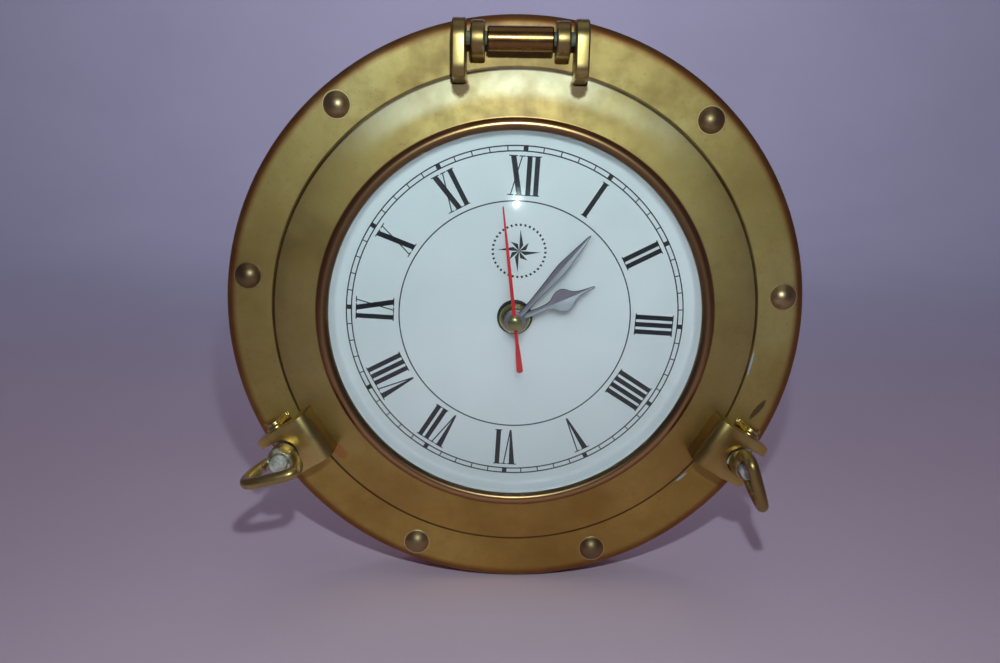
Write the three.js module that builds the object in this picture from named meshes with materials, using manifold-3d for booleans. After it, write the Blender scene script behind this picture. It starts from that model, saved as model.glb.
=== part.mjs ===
// A nine inch porthole clock: a brass flange with a hinged, glazed door, two swing-bolt dogs
// with stirrup nuts, a white pan dial and a battery movement.
//
// Millimetres. Every piece is drawn in the front frame: x to the right, y up the dial and z out of
// the mounting plane towards the reader. The exported group turns that frame so that +Z is up and
// the dial faces -Y. The origin is on the clock's axis, in the mounting plane.
import * as THREE from "three";
import { mergeVertices } from "three/addons/utils/BufferGeometryUtils.js";
import Module from "manifold-3d";

const wasm = await Module();
wasm.setup();

// ---- driving dimensions ----
const GAP = 0.3; // between pieces that touch
const PIN_PLAY = 0.15; // round a pin in its hole
const PAST = 1; // how far a cutting tool runs past a face
const RING_SEGMENTS = 48;

const FLANGE_R = 114.3; // nine inches across
const FLANGE_FACE = 24; // height of the flange's front face
const FLANGE_PLATE = 5;
const SKIRT_WALL = 4.5;
const EDGE_ROUND = 3.2;
const BORE_R = 74.8; // opening that holds the dial pan
const BORE_WALL = 3.5;
const LEDGE_R = 68.5; // inward ledge that the pan rests on
const LEDGE_THICK = 3;
const DIAL_FACE = 20.4;
const SHEET = 0.8; // thickness of the dial pan

const RIVET_CIRCLE_R = 105.9;
const RIVET_R = 5;
const RIVET_HEIGHT = 3.1;
const RIVET_SHANK_R = 2.4;
const RIVET_TURN = 1.5; // the whole rivet pattern, clockwise, in degrees
const RIVET_ANGLES = [41.4, 82.9, 159.5, -159.5, -82.9, -41.4]; // clockwise from the hinge

const DOOR_R = 95.4;
const DOOR_BACK = FLANGE_FACE + 0.4;
const DOOR_EDGE = 25.8; // height of the door's face at its rim
const DOOR_CREST = 28.3; // height of the door's face at the bead
const BEAD_R = 75.4;
const BEAD_WIDTH = 4.8;
const BEAD_RISE = 2.3;
const GLASS_R = 77;
const GLASS_BACK = 26;
const GLASS_THICK = 2;
const DOME_R = 72.4; // where the dome leaves the flat rim
const GLASS_RISE = 13.5; // of the dome above its rim

const HINGE_RHO = 105;
const HINGE_HEIGHT = FLANGE_FACE + 9.6;
const HINGE_PIN_R = 2.5;
const HINGE_BARREL_R = 4.4;
const KNUCKLE_R = 6.3;
const KNUCKLE_MID = 15.2;
const DOOR_LUG_R = 7;
const DOOR_LUG_MID = 21.8;
const LUG_WIDTH = 5;

const DOG_ANGLE = 120.4; // from the hinge, each way
const DOG_RHO = 105; // the swing bolt's axis
const DOG_PIVOT = 29.8; // height of the cross pin
const FORK_FACE = 38.5;
const FORK_PLATE = 4.5;
const FORK_WIDTH = 20;
const NOTCH_R = 5.75;
const BOLT_R = 3.1;
const BOLT_TOP = 50.5;
const EYE_R = 4.4;
const EYE_HALF = 5.2;
const CROSS_PIN_R = 1.8;
const EAR_R = 3.8;
const EAR_OUTSIDE = 12;
const FOOT_HALF = 5.8;
const FOOT_THICK = 0.9;
const HUB_R = 5.15;
const HUB_TOP_R = 4.4;
const HUB_HEIGHT = 7.8;
const STIRRUP_TOP = 62.5; // centre line of the stirrup's bar
const STIRRUP_HALF = 9.7;
const STIRRUP_WIRE_R = 2;
const NUT_TURN = { left: 16, right: 41.5 }; // stirrup, clockwise from the radius, in degrees

const DIAL_TURN = 2.7; // the dial sits a little clockwise of the hinge, in degrees
const MINUTE_AT = 37;
const HOUR_AT = 63;
const SECOND_AT = -9.4;
const HOUR_HAND_Z = DIAL_FACE + 6;
const MINUTE_HAND_Z = DIAL_FACE + 8;
const SECOND_HAND_Z = DIAL_FACE + 10.2;
const HAND_SHEET = 0.5;
const SPINDLE_R = 4.4; // hole in the dial
const NUT_R = 6.25;
const NUT_HEIGHT = 3.4;
const WASHER_R = 7;
const CAP_R = 2.8;

const MOVEMENT_HALF = 28;
const MOVEMENT_FRONT = 19.3;
const MOVEMENT_BACK = 5.2;
const WALL = 1.4;
const FRONT_WALL = 1.2;
const CENTRE_TO_MOTION = 12;
const BATTERY_R = 7.1;
const BATTERY_Y = -17.5;
const BATTERY_Z = 10.9;
const BATTERY_FROM = -24.8;
const BATTERY_TO = 23.6;

const MOTION_MODULE = 0.6;
const MOTION_DIRECTION = 90; // from the centre to the motion wheel, in degrees from x
const [MINUTE_TEETH, MOTION_TEETH, MOTION_PINION_TEETH, HOUR_TEETH] = [10, 30, 8, 32];
const GOING_MODULE = 0.3;
const [SECONDS_TEETH, STEP_PINION_TEETH, STEP_TEETH, ROTOR_TEETH] = [60, 10, 40, 8];
const STEP_ANGLE = 170; // from the centre to the intermediate wheel, in degrees from x
const ROTOR_ANGLE = 110; // from the intermediate wheel to the rotor

const KNOB_R = 6.6;
const KNOB_RIDGES = 12;
const KNOB_LOW = 1.2;
const KNOB_HIGH = 3.3;

const BOARD_THICK = 4;
const BOARD_R = FLANGE_R - SKIRT_WALL - 0.4;
const POST_CIRCLE_R = 100;
const POST_ANGLES = [20, 100, 180, 260];
const POST_R = 4.5;
const POST_HOLE_R = 1.7;
const SCREW_HEAD_R = 3.5;
const SCREW_R = 1.4;
const KEYHOLE_Y = 84;
const HANGER_HALF_X = 15;
const HANGER_HALF_Y = 12;
const HANGER_THICK = 1.3;
const KEYHOLE_R = 4.6;
const KEYSLOT_R = 2.3;

// ---- materials ----
const finish = (metalness) => (color, roughness) =>
  new THREE.MeshStandardMaterial({ color, roughness, metalness });
const metal = finish(1);
const plain = finish(0);
const BRASS = metal(0xa08c55, 0.35);
const DARK_BRASS = metal(0x7d6238, 0.4);
const STEEL = metal(0xb9b9b4, 0.4);
const HAND_STEEL = metal(0xa3a6a8, 0.35);
const ENAMEL = plain(0xd6e2e4, 0.35);
const RED = plain(0xb02a22, 0.45);
const BLACK_PLASTIC = plain(0x1d1e20, 0.55);
const WHITE_PLASTIC = plain(0xe6e4dc, 0.5);
const RUBBER = plain(0x141414, 0.85);
const BOARD = plain(0x3b2a1c, 0.7);
const GREEN = plain(0x1d5a34, 0.6);
const COPPER = metal(0xb3623a, 0.4);
const CELL = plain(0x2c3a4c, 0.45);
const GLASS = new THREE.MeshStandardMaterial({
  color: 0xe8f0f0,
  roughness: 0.05,
  transparent: true,
  opacity: 0.3,
});

// ---- shape helpers ----
const rad = THREE.MathUtils.degToRad;

// Joins shared corners, drops collapsed triangles and turns every face outward.
function closed(geometry) {
  let g = geometry.clone();
  g.deleteAttribute("normal");
  g.deleteAttribute("uv");
  g = mergeVertices(g, 1e-4);
  const index = g.index.array;
  const p = g.attributes.position;
  const kept = [];
  let volume = 0;
  const [a, b, c] = [new THREE.Vector3(), new THREE.Vector3(), new THREE.Vector3()];
  for (let i = 0; i < index.length; i += 3) {
    const [u, v, w] = [index[i], index[i + 1], index[i + 2]];
    if (u === v || v === w || w === u) continue;
    kept.push(u, v, w);
    a.fromBufferAttribute(p, u);
    b.fromBufferAttribute(p, v);
    c.fromBufferAttribute(p, w);
    volume += a.dot(b.cross(c));
  }
  if (volume < 0) kept.reverse();
  g.setIndex(kept);
  return g;
}

// A closed geometry as a solid; a solid stays as it is.
function toSolid(piece) {
  if (!piece.isBufferGeometry) return piece;
  const g = closed(piece);
  return new wasm.Manifold(
    new wasm.Mesh({
      numProp: 3,
      vertProperties: new Float32Array(g.attributes.position.array),
      triVerts: new Uint32Array(g.index.array),
    }),
  );
}

function toGeometry(piece) {
  if (piece.isBufferGeometry) return closed(piece);
  const mesh = piece.getMesh();
  const g = new THREE.BufferGeometry();
  g.setAttribute("position", new THREE.BufferAttribute(new Float32Array(mesh.vertProperties), 3));
  g.setIndex(new THREE.BufferAttribute(new Uint32Array(mesh.triVerts), 1));
  return g;
}

const join = (...parts) => parts.map(toSolid).reduce((all, one) => all.add(one));
const cut = (body, ...tools) =>
  tools.map(toSolid).reduce((left, tool) => left.subtract(tool), toSolid(body));

// A solid of revolution about z from [radius, height] points; a ring's outline closes on itself.
function turned(points, segments = RING_SEGMENTS) {
  const outline = points.map(([r, z]) => new THREE.Vector2(r, z));
  if (points[0][0] > 0) outline.push(outline[0].clone());
  return closed(new THREE.LatheGeometry(outline, segments).rotateX(Math.PI / 2));
}

const tubeRing = (inner, outer, low, high, segments = RING_SEGMENTS) =>
  turned([[inner, low], [outer, low], [outer, high], [inner, high]], segments);

// A disc or rod along z.
const rod = (r, low, high, x = 0, y = 0, segments = 24) =>
  new THREE.CylinderGeometry(r, r, high - low, segments)
    .rotateX(Math.PI / 2)
    .translate(x, y, (low + high) / 2);

// A rod along x.
const rodAcross = (r, from, to, y, z, segments = 24) =>
  new THREE.CylinderGeometry(r, r, to - from, segments)
    .rotateZ(Math.PI / 2)
    .translate((from + to) / 2, y, z);

const block = (x0, x1, y0, y1, z0, z1) =>
  new THREE.BoxGeometry(x1 - x0, y1 - y0, z1 - z0).translate(
    (x0 + x1) / 2,
    (y0 + y1) / 2,
    (z0 + z1) / 2,
  );

const raised = (shape, height) =>
  new THREE.ExtrudeGeometry(shape, { depth: height, bevelEnabled: false });

// A flat outline in x and y, raised from low to high.
const plate = (shape, low, high) => raised(shape, high - low).translate(0, 0, low);

// An outline drawn in y (along the radius) and z (height), extruded along x.
const sidePlate = (shape, from, to) =>
  raised(shape, to - from)
    .rotateX(Math.PI / 2)
    .rotateZ(Math.PI / 2)
    .translate(from, 0, 0);

const shapeOf = (points) => new THREE.Shape(points.map(([x, y]) => new THREE.Vector2(x, y)));

// A point at a distance from the axis, clockwise from the top.
const polar = (r, angle) => [r * Math.sin(rad(angle)), r * Math.cos(rad(angle))];

// Points of an arc, from one angle to another in degrees, anticlockwise from the first axis.
function arc(cx, cy, r, from, to, steps) {
  return Array.from({ length: steps + 1 }, (_, i) => {
    const a = rad(from + ((to - from) * i) / steps);
    return [cx + r * Math.cos(a), cy + r * Math.sin(a)];
  });
}

// A toothed wheel with straight-sided teeth and running clearance. A tooth points along turn.
function gearShape(teeth, module, turn) {
  const pitchR = (teeth * module) / 2;
  const pitch = (2 * Math.PI) / teeth;
  const root = pitchR - 1.15 * module;
  const tip = pitchR + 0.8 * module;
  const [rootShare, tipShare] = [0.27, 0.11];
  const tooth = [[root, -rootShare], [tip, -tipShare], [tip, tipShare], [root, rootShare]];
  const points = [];
  for (let i = 0; i < teeth; i += 1) {
    const mid = i * pitch + rad(turn);
    for (const [r, share] of tooth) {
      const a = mid + share * pitch;
      points.push([r * Math.cos(a), r * Math.sin(a)]);
    }
  }
  return shapeOf(points);
}

const clock = new THREE.Group();
clock.rotation.x = Math.PI / 2;

// Stations for the pieces: on the dial, and at each angle round the flange, clockwise from the
// top, where y runs out along the radius and x along the rim.
const dial = new THREE.Group();
dial.rotation.z = rad(-DIAL_TURN);
clock.add(dial);

function station(angle) {
  const group = new THREE.Group();
  group.rotation.z = rad(-angle);
  clock.add(group);
  return group;
}

function add(parent, name, piece, material) {
  const mesh = new THREE.Mesh(toGeometry(piece), material);
  mesh.name = name;
  parent.add(mesh);
  return mesh;
}

// ---- flange casting, rivets and back ----
function baseFlange() {
  const plateBack = FLANGE_FACE - FLANGE_PLATE;
  const ledgeFace = DIAL_FACE - SHEET - GAP;
  const ledgeBack = ledgeFace - LEDGE_THICK;
  const body = turned([
    [FLANGE_R - SKIRT_WALL, 0],
    [FLANGE_R, 0],
    ...arc(FLANGE_R - EDGE_ROUND, FLANGE_FACE - EDGE_ROUND, EDGE_ROUND, 0, 90, 4),
    [BORE_R, FLANGE_FACE],
    [BORE_R, ledgeFace],
    [LEDGE_R, ledgeFace],
    [LEDGE_R, ledgeBack],
    [BORE_R + BORE_WALL, ledgeBack],
    [BORE_R + BORE_WALL, plateBack],
    [FLANGE_R - SKIRT_WALL, plateBack],
  ]);
  const posts = POST_ANGLES.map((angle) => {
    const [x, y] = polar(POST_CIRCLE_R, angle);
    return cut(
      rod(POST_R, BOARD_THICK + GAP, plateBack + PAST, x, y, 16),
      rod(POST_HOLE_R, BOARD_THICK, plateBack - PAST, x, y, 12),
    );
  });
  const holes = RIVET_ANGLES.map((angle) => {
    const [x, y] = polar(RIVET_CIRCLE_R, angle + RIVET_TURN);
    return rod(RIVET_SHANK_R + PIN_PLAY, plateBack - PAST, FLANGE_FACE + PAST, x, y, 12);
  });
  return cut(join(body, ...posts), ...holes);
}
add(clock, "base_flange", baseFlange(), BRASS);

function rivet() {
  const head = FLANGE_FACE + 0.1;
  const capR = (RIVET_R ** 2 + RIVET_HEIGHT ** 2) / (2 * RIVET_HEIGHT);
  const rim = THREE.MathUtils.radToDeg(Math.asin(RIVET_R / capR));
  const dome = arc(0, head + RIVET_HEIGHT - capR, capR, 90 - rim, 90, 4);
  const shankEnd = FLANGE_FACE - FLANGE_PLATE - 0.8;
  dome[dome.length - 1][0] = 0;
  return turned([[0, shankEnd], [RIVET_SHANK_R, shankEnd], [RIVET_SHANK_R, head], ...dome], 16);
}
RIVET_ANGLES.forEach((angle, i) => {
  const [x, y] = polar(RIVET_CIRCLE_R, angle + RIVET_TURN);
  add(clock, `rivet_${i + 1}`, rivet(), DARK_BRASS).position.set(x, y, 0);
});

// The board has sunk screw holes, openings for the battery and the knob, and a recess with a
// hole behind the hanger plate.
function backBoard() {
  const through = BOARD_THICK + PAST;
  const [sinkDepth, batteryHalfX, batteryHalfY, screwRoomX, screwRoomY] = [2.2, 27.5, 8.5, 6, 8];
  const [recessX, recessY] = [HANGER_HALF_X + GAP, HANGER_HALF_Y + GAP];
  const holes = POST_ANGLES.map((angle) => {
    const [x, y] = polar(POST_CIRCLE_R, angle);
    const hole = rod(POST_HOLE_R + GAP, -PAST, through, x, y, 12);
    return join(hole, rod(SCREW_HEAD_R + 0.5, -PAST, sinkDepth, x, y, 16));
  });
  const [batteryLow, batteryHigh] = [BATTERY_Y - batteryHalfY, BATTERY_Y + batteryHalfY];
  const [roomLow, roomHigh] = [KEYHOLE_Y - screwRoomY, KEYHOLE_Y + screwRoomY];
  const [recessLow, recessHigh] = [KEYHOLE_Y - recessY, KEYHOLE_Y + recessY];
  return cut(
    rod(BOARD_R, 0, BOARD_THICK, 0, 0, RING_SEGMENTS),
    ...holes,
    block(-batteryHalfX, batteryHalfX, batteryLow, batteryHigh, -PAST, through),
    rod(KNOB_R + 2, -PAST, through, 0, CENTRE_TO_MOTION, 24),
    block(-recessX, recessX, recessLow, recessHigh, -PAST, HANGER_THICK + GAP),
    block(-screwRoomX, screwRoomX, roomLow, roomHigh, -PAST, through),
  );
}
add(clock, "back_board", backBoard(), BOARD);

function hangerPlate() {
  const [low, high] = [KEYHOLE_Y - HANGER_HALF_Y, KEYHOLE_Y + HANGER_HALF_Y];
  const [holeY, slotEndY] = [KEYHOLE_Y - 3, KEYHOLE_Y + 5];
  const through = HANGER_THICK + PAST;
  return cut(
    block(-HANGER_HALF_X, HANGER_HALF_X, low, high, 0, HANGER_THICK),
    rod(KEYHOLE_R, -PAST, through, 0, holeY, 20),
    block(-KEYSLOT_R, KEYSLOT_R, holeY, slotEndY, -PAST, through),
    rod(KEYSLOT_R, -PAST, through, 0, slotEndY, 16),
  );
}
add(clock, "hanger_plate", hangerPlate(), STEEL);

function backScrew() {
  const tip = FLANGE_FACE - FLANGE_PLATE - 3;
  const [headLow, headEdge, neck] = [0.3, 1.2, 1.9];
  const head = [[0, headLow], [SCREW_HEAD_R, headLow], [SCREW_HEAD_R, headEdge]];
  return turned([...head, [SCREW_R, neck], [SCREW_R, tip], [0, tip + 1]], 12);
}
POST_ANGLES.forEach((angle, i) => {
  const [x, y] = polar(POST_CIRCLE_R, angle);
  add(clock, `back_screw_${i + 1}`, backScrew(), STEEL).position.set(x, y, 0);
});

// ---- hinge ----
const hinge = station(0);

// A cheek that stands on a foot and rounds over the pin.
function cheek(outline, mid) {
  const body = sidePlate(shapeOf(outline), mid - LUG_WIDTH / 2, mid + LUG_WIDTH / 2);
  const [from, to] = [mid - LUG_WIDTH, mid + LUG_WIDTH];
  return cut(body, rodAcross(HINGE_PIN_R + PIN_PLAY, from, to, HINGE_RHO, HINGE_HEIGHT));
}

const knuckleOutline = [
  [HINGE_RHO - KNUCKLE_R - 1.8, FLANGE_FACE + 0.1],
  [HINGE_RHO + KNUCKLE_R + 0.4, FLANGE_FACE + 0.1],
  ...arc(HINGE_RHO, HINGE_HEIGHT, KNUCKLE_R, 0, 180, 12),
];

// The door's crowned face, from its rim to the foot of the bead, and the space under the lugs
// that stand on it.
const CROWN = [
  [DOOR_R - 1.2, DOOR_EDGE],
  [86.5, 27.2],
  [BEAD_R + BEAD_WIDTH / 2, DOOR_CREST],
];
const underLugs = turned([
  [0, 10],
  [DOOR_R + 0.2, 10],
  [DOOR_R + 0.2, DOOR_EDGE - 0.6],
  [DOOR_R - 0.4, DOOR_EDGE + 0.1],
  ...CROWN.map(([r, z]) => [r, z + 0.15]),
  [0, DOOR_CREST + 0.15],
]);

const doorLugOutline = [
  [86, DOOR_EDGE],
  [94.6, DOOR_BACK + 0.2],
  ...arc(HINGE_RHO, HINGE_HEIGHT, DOOR_LUG_R, 262, 450, 15),
  [94.4, 40.4],
  [92.2, 39],
  [91, 36.4],
  [90.4, 32],
  [89.2, 29.2],
];

for (const [side, sign] of [["left", -1], ["right", 1]]) {
  const doorLug = cut(cheek(doorLugOutline, sign * DOOR_LUG_MID), underLugs);
  add(hinge, `base_knuckle_${side}`, cheek(knuckleOutline, sign * KNUCKLE_MID), BRASS);
  add(hinge, `door_hinge_lug_${side}`, doorLug, BRASS);
}

// A round piece on the hinge's axis.
const onHinge = (r, half) => rodAcross(r, -half, half, HINGE_RHO, HINGE_HEIGHT);
const PIN_HALF = DOOR_LUG_MID + LUG_WIDTH / 2 - 0.2;
const BARREL_HALF = KNUCKLE_MID - LUG_WIDTH / 2 - 0.9;
const barrel = cut(onHinge(HINGE_BARREL_R, BARREL_HALF), onHinge(HINGE_PIN_R + PIN_PLAY, PIN_HALF));
add(hinge, "hinge_pin", onHinge(HINGE_PIN_R, PIN_HALF), STEEL);
add(hinge, "hinge_barrel", barrel, DARK_BRASS);

// ---- door and glass ----
const RETAINER_INNER_R = 75.2;
const RETAINER_OUTER_R = 82.6;

function doorRing() {
  const bead = arc(BEAD_R, DOOR_CREST, 1, 0, 180, 6).map(([x, z]) => [
    BEAD_R + ((x - BEAD_R) * BEAD_WIDTH) / 2,
    DOOR_CREST + (z - DOOR_CREST) * BEAD_RISE,
  ]);
  const seat = GLASS_BACK + GLASS_THICK + 0.2;
  const rebateR = RETAINER_OUTER_R + 0.4;
  return turned([
    [DOOR_R, DOOR_BACK],
    [DOOR_R, DOOR_EDGE - 1],
    ...arc(DOOR_R - 1.2, DOOR_EDGE - 1.2, 1.2, 20, 75, 2),
    ...CROWN.slice(0, 2),
    ...bead,
    [BEAD_R - BEAD_WIDTH / 2, seat],
    [GLASS_R + 0.4, seat],
    [GLASS_R + 0.4, GLASS_BACK],
    [rebateR, GLASS_BACK],
    [rebateR, DOOR_BACK],
  ]);
}
add(clock, "door_ring", doorRing(), BRASS);

function glassDome() {
  const rimTop = GLASS_BACK + GLASS_THICK;
  const domeR = (DOME_R ** 2 + GLASS_RISE ** 2) / (2 * GLASS_RISE);
  const centre = rimTop + GLASS_RISE - domeR;
  const spread = THREE.MathUtils.radToDeg(Math.asin(DOME_R / domeR));
  const innerR = domeR - GLASS_THICK;
  const innerSpread = THREE.MathUtils.radToDeg(Math.acos((GLASS_BACK - centre) / innerR));
  const outer = arc(0, centre, domeR, 90 - spread, 90, 5);
  const inner = arc(0, centre, innerR, 90, 90 - innerSpread, 5);
  outer[outer.length - 1][0] = 0;
  inner[0][0] = 0;
  return turned([...inner, [GLASS_R, GLASS_BACK], [GLASS_R, rimTop], ...outer]);
}
add(clock, "glass_dome", glassDome(), GLASS);

const retainer = tubeRing(RETAINER_INNER_R, RETAINER_OUTER_R, DOOR_BACK + GAP, GLASS_BACK - 0.2);
add(clock, "glass_retaining_ring", retainer, BRASS);

// ---- dial ----
function dialPan() {
  const back = DIAL_FACE - SHEET;
  const rimTop = GLASS_BACK - 0.5;
  const floorR = 70.2;
  return cut(
    turned([
      [0, back],
      [floorR + 0.6, back],
      [72.6, back + 1],
      [74.4, rimTop],
      [73.6, rimTop],
      [72, DIAL_FACE + 1.6],
      [71.3, DIAL_FACE + 0.4],
      [floorR, DIAL_FACE],
      [0, DIAL_FACE],
    ]),
    rod(SPINDLE_R, back - PAST, DIAL_FACE + PAST, 0, 0, 24),
  );
}
add(dial, "dial_pan", dialPan(), ENAMEL);

const washer = tubeRing(SPINDLE_R, WASHER_R, DIAL_FACE + 0.1, DIAL_FACE + 0.9, 24);
add(dial, "dial_washer", washer, RUBBER);

function mountingNut() {
  const low = DIAL_FACE + 1;
  const high = low + NUT_HEIGHT;
  const inside = SPINDLE_R - 0.1;
  const outline = [[NUT_R, low], [NUT_R, high - 0.6], [NUT_R - 0.65, high]];
  return turned([[inside, low], ...outline, [inside, high]], 24);
}
add(dial, "mounting_nut", mountingNut(), BRASS);

// ---- hands ----
// A flat hand pointing up y: a blade given by its right-hand side as [half width, distance]
// points, mirrored, with a round boss on its arbor.
function hand(side, low, bossR, bossLow, boreR) {
  const high = low + HAND_SHEET;
  const mirrored = side.map(([w, y]) => [-w, y]).reverse();
  const blade = plate(shapeOf([...side, ...mirrored]), low, high);
  const boss = rod(bossR, bossLow, high, 0, 0, 24);
  return cut(join(blade, boss), rod(boreR, bossLow - PAST, high + PAST, 0, 0, 20));
}

const hourSide = [
  [0.9, -3],
  [0.9, 12],
  [1.3, 15],
  [3.4, 18],
  [4.2, 20.5],
  [3.3, 23],
  [1.1, 26],
  [0.3, 33.4],
];
const minuteSide = [
  [0.9, -3],
  [0.9, 10],
  [1.4, 20],
  [1.9, 27],
  [1.6, 31.5],
  [0.85, 38],
  [0.2, 43.8],
];
const secondSide = [
  [1.3, -20],
  [1.4, -18],
  [0.6, -10],
  [0.6, 8],
  [0.2, 45.3],
];
const hourHand = hand(hourSide, HOUR_HAND_Z, 4.4, HOUR_HAND_Z, 2.75);
const minuteHand = hand(minuteSide, MINUTE_HAND_Z, 3.6, MINUTE_HAND_Z, 2);
const secondHand = hand(secondSide, SECOND_HAND_Z, 2.2, SECOND_HAND_Z - 0.6, 1);
add(dial, "hour_hand", hourHand, HAND_STEEL).rotation.z = rad(-HOUR_AT);
add(dial, "minute_hand", minuteHand, HAND_STEEL).rotation.z = rad(-MINUTE_AT);
add(dial, "second_hand", secondHand, RED).rotation.z = rad(-SECOND_AT);

function handCap() {
  const low = SECOND_HAND_Z + HAND_SHEET + 0.1;
  return turned([[0, low], [CAP_R, low], [CAP_R, low + 0.6], [2.1, low + 1.2], [0, low + 1.4]], 20);
}
add(dial, "hand_cap", handCap(), BRASS);

// ---- movement ----
const TUBE_R = 2.8; // inside the threaded bush
const COVER_THICK = 0.7;

// The case is open at the back; a rib parts the battery from the gears.
function movementCase() {
  const h = MOVEMENT_HALF;
  const inner = h - WALL;
  const [ribLow, ribHigh, ribTop, bushR] = [-10.2, -9.5, 16.2, 4];
  const shell = cut(
    block(-h, h, -h, h, MOVEMENT_BACK, MOVEMENT_FRONT),
    block(-inner, inner, -inner, inner, MOVEMENT_BACK - PAST, MOVEMENT_FRONT - FRONT_WALL),
  );
  const rib = block(-inner - 0.5, inner + 0.5, ribLow, ribHigh, MOVEMENT_BACK + 1, ribTop);
  const bush = rod(bushR, MOVEMENT_FRONT - 0.5, DIAL_FACE + 4, 0, 0, 24);
  return cut(join(shell, rib, bush), rod(TUBE_R, MOVEMENT_BACK, HOUR_HAND_Z, 0, 0, 20));
}
add(dial, "movement_case", movementCase(), BLACK_PLASTIC);

function movementCover() {
  const h = MOVEMENT_HALF - 0.5;
  const high = MOVEMENT_BACK - GAP / 2;
  const low = high - COVER_THICK;
  const [wellHalfX, wellHalfY, arborHoleR] = [26, 7.6, 2];
  const [wellLow, wellHigh] = [BATTERY_Y - wellHalfY, BATTERY_Y + wellHalfY];
  return cut(
    block(-h, h, -h, h, low, high),
    block(-wellHalfX, wellHalfX, wellLow, wellHigh, low - PAST, high + PAST),
    rod(arborHoleR, low - PAST, high + PAST, 0, CENTRE_TO_MOTION, 16),
  );
}
add(dial, "movement_cover", movementCover(), BLACK_PLASTIC);

const battery = join(
  rodAcross(BATTERY_R, BATTERY_FROM, BATTERY_TO, BATTERY_Y, BATTERY_Z, 24),
  rodAcross(2.6, BATTERY_TO - 0.6, BATTERY_TO + 1.2, BATTERY_Y, BATTERY_Z, 16),
);
add(dial, "battery", battery, CELL);

const contact = (x) => block(x - 0.65, x + 0.65, BATTERY_Y - 4, BATTERY_Y + 4, 7, 16.5);
add(dial, "contact_negative", contact(-25.75), STEEL);
add(dial, "contact_positive", contact(25.75), STEEL);

// Motion work: the minute pinion drives the motion wheel, whose pinion drives the hour wheel.
// The two layers lie one above the other.
const MOTION_LOW = [14.2, 15.8];
const MOTION_HIGH = [16.6, 17.6];

function minutePinion() {
  const [pipeR, boreR] = [1.75, 1.05];
  const gear = plate(gearShape(MINUTE_TEETH, MOTION_MODULE, MOTION_DIRECTION), ...MOTION_LOW);
  const pipe = rod(pipeR, 15, MINUTE_HAND_Z + 1, 0, 0, 20);
  return cut(join(gear, pipe), rod(boreR, 10, 40, 0, 0, 16));
}
add(dial, "minute_pinion", minutePinion(), BRASS);

function hourWheel() {
  const [pipeR, boreR] = [2.5, 2.05];
  const gear = plate(gearShape(HOUR_TEETH, MOTION_MODULE, MOTION_DIRECTION), ...MOTION_HIGH);
  const pipe = rod(pipeR, 17, HOUR_HAND_Z + 1, 0, 0, 20);
  return cut(join(gear, pipe), rod(boreR, 10, 40, 0, 0, 20));
}
add(dial, "hour_wheel", hourWheel(), WHITE_PLASTIC);

// Half a tooth is added where a wheel faces the tooth of the one that drives it.
const facing = (direction, teeth) => direction + 180 + 180 / teeth;

function motionWheel() {
  const wheelTurn = facing(MOTION_DIRECTION, MOTION_TEETH);
  const pinionTurn = facing(MOTION_DIRECTION, MOTION_PINION_TEETH);
  const wheel = plate(gearShape(MOTION_TEETH, MOTION_MODULE, wheelTurn), 14.5, 15.5);
  const pinion = plate(gearShape(MOTION_PINION_TEETH, MOTION_MODULE, pinionTurn), 15.4, 17.6);
  return join(wheel, pinion, rod(1.5, KNOB_HIGH + GAP, 15, 0, 0, 16));
}
add(dial, "motion_wheel", motionWheel(), WHITE_PLASTIC).position.y = CENTRE_TO_MOTION;

function settingKnob() {
  const ridges = Array.from({ length: KNOB_RIDGES }, (_, i) => {
    const [x, y] = polar(KNOB_R, (i * 360) / KNOB_RIDGES);
    return rod(0.7, KNOB_LOW, KNOB_HIGH, x, y, 6);
  });
  return join(rod(KNOB_R, KNOB_LOW, KNOB_HIGH, 0, 0, 24), ...ridges);
}
add(dial, "setting_knob", settingKnob(), WHITE_PLASTIC).position.y = CENTRE_TO_MOTION;

// Going train: the stepping rotor drives the intermediate wheel, and that the seconds wheel.
const meshDistance = (a, b) => (GOING_MODULE * (a + b)) / 2;
const stepReach = meshDistance(SECONDS_TEETH, STEP_PINION_TEETH);
const rotorReach = meshDistance(STEP_TEETH, ROTOR_TEETH);
const stepCentre = arc(0, 0, stepReach, STEP_ANGLE, STEP_ANGLE, 1)[0];
const rotorCentre = arc(...stepCentre, rotorReach, ROTOR_ANGLE, ROTOR_ANGLE, 1)[0];

function secondsWheel() {
  const gear = plate(gearShape(SECONDS_TEETH, GOING_MODULE, STEP_ANGLE), 11.4, 12.2);
  return join(gear, rod(0.75, 6.4, SECOND_HAND_Z + 0.3, 0, 0, 12));
}
add(dial, "seconds_wheel", secondsWheel(), WHITE_PLASTIC);

function stepWheel() {
  const pinionTurn = facing(STEP_ANGLE, STEP_PINION_TEETH);
  const pinion = plate(gearShape(STEP_PINION_TEETH, GOING_MODULE, pinionTurn), 10.3, 12.6);
  const wheel = plate(gearShape(STEP_TEETH, GOING_MODULE, ROTOR_ANGLE), 9.6, 10.4);
  return join(wheel, pinion, rod(0.6, 6.6, 13.4, 0, 0, 10));
}
add(dial, "intermediate_wheel", stepWheel(), WHITE_PLASTIC).position.set(...stepCentre, 0);

const ROTOR_R = 2.8;
function rotor() {
  const pinionTurn = facing(ROTOR_ANGLE, ROTOR_TEETH);
  const pinion = plate(gearShape(ROTOR_TEETH, GOING_MODULE, pinionTurn), 8.9, 10.8);
  return join(pinion, rod(ROTOR_R, 6.6, 9, 0, 0, 20), rod(0.5, 5.8, 13, 0, 0, 10));
}
add(dial, "rotor", rotor(), DARK_BRASS).position.set(...rotorCentre, 0);

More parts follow.
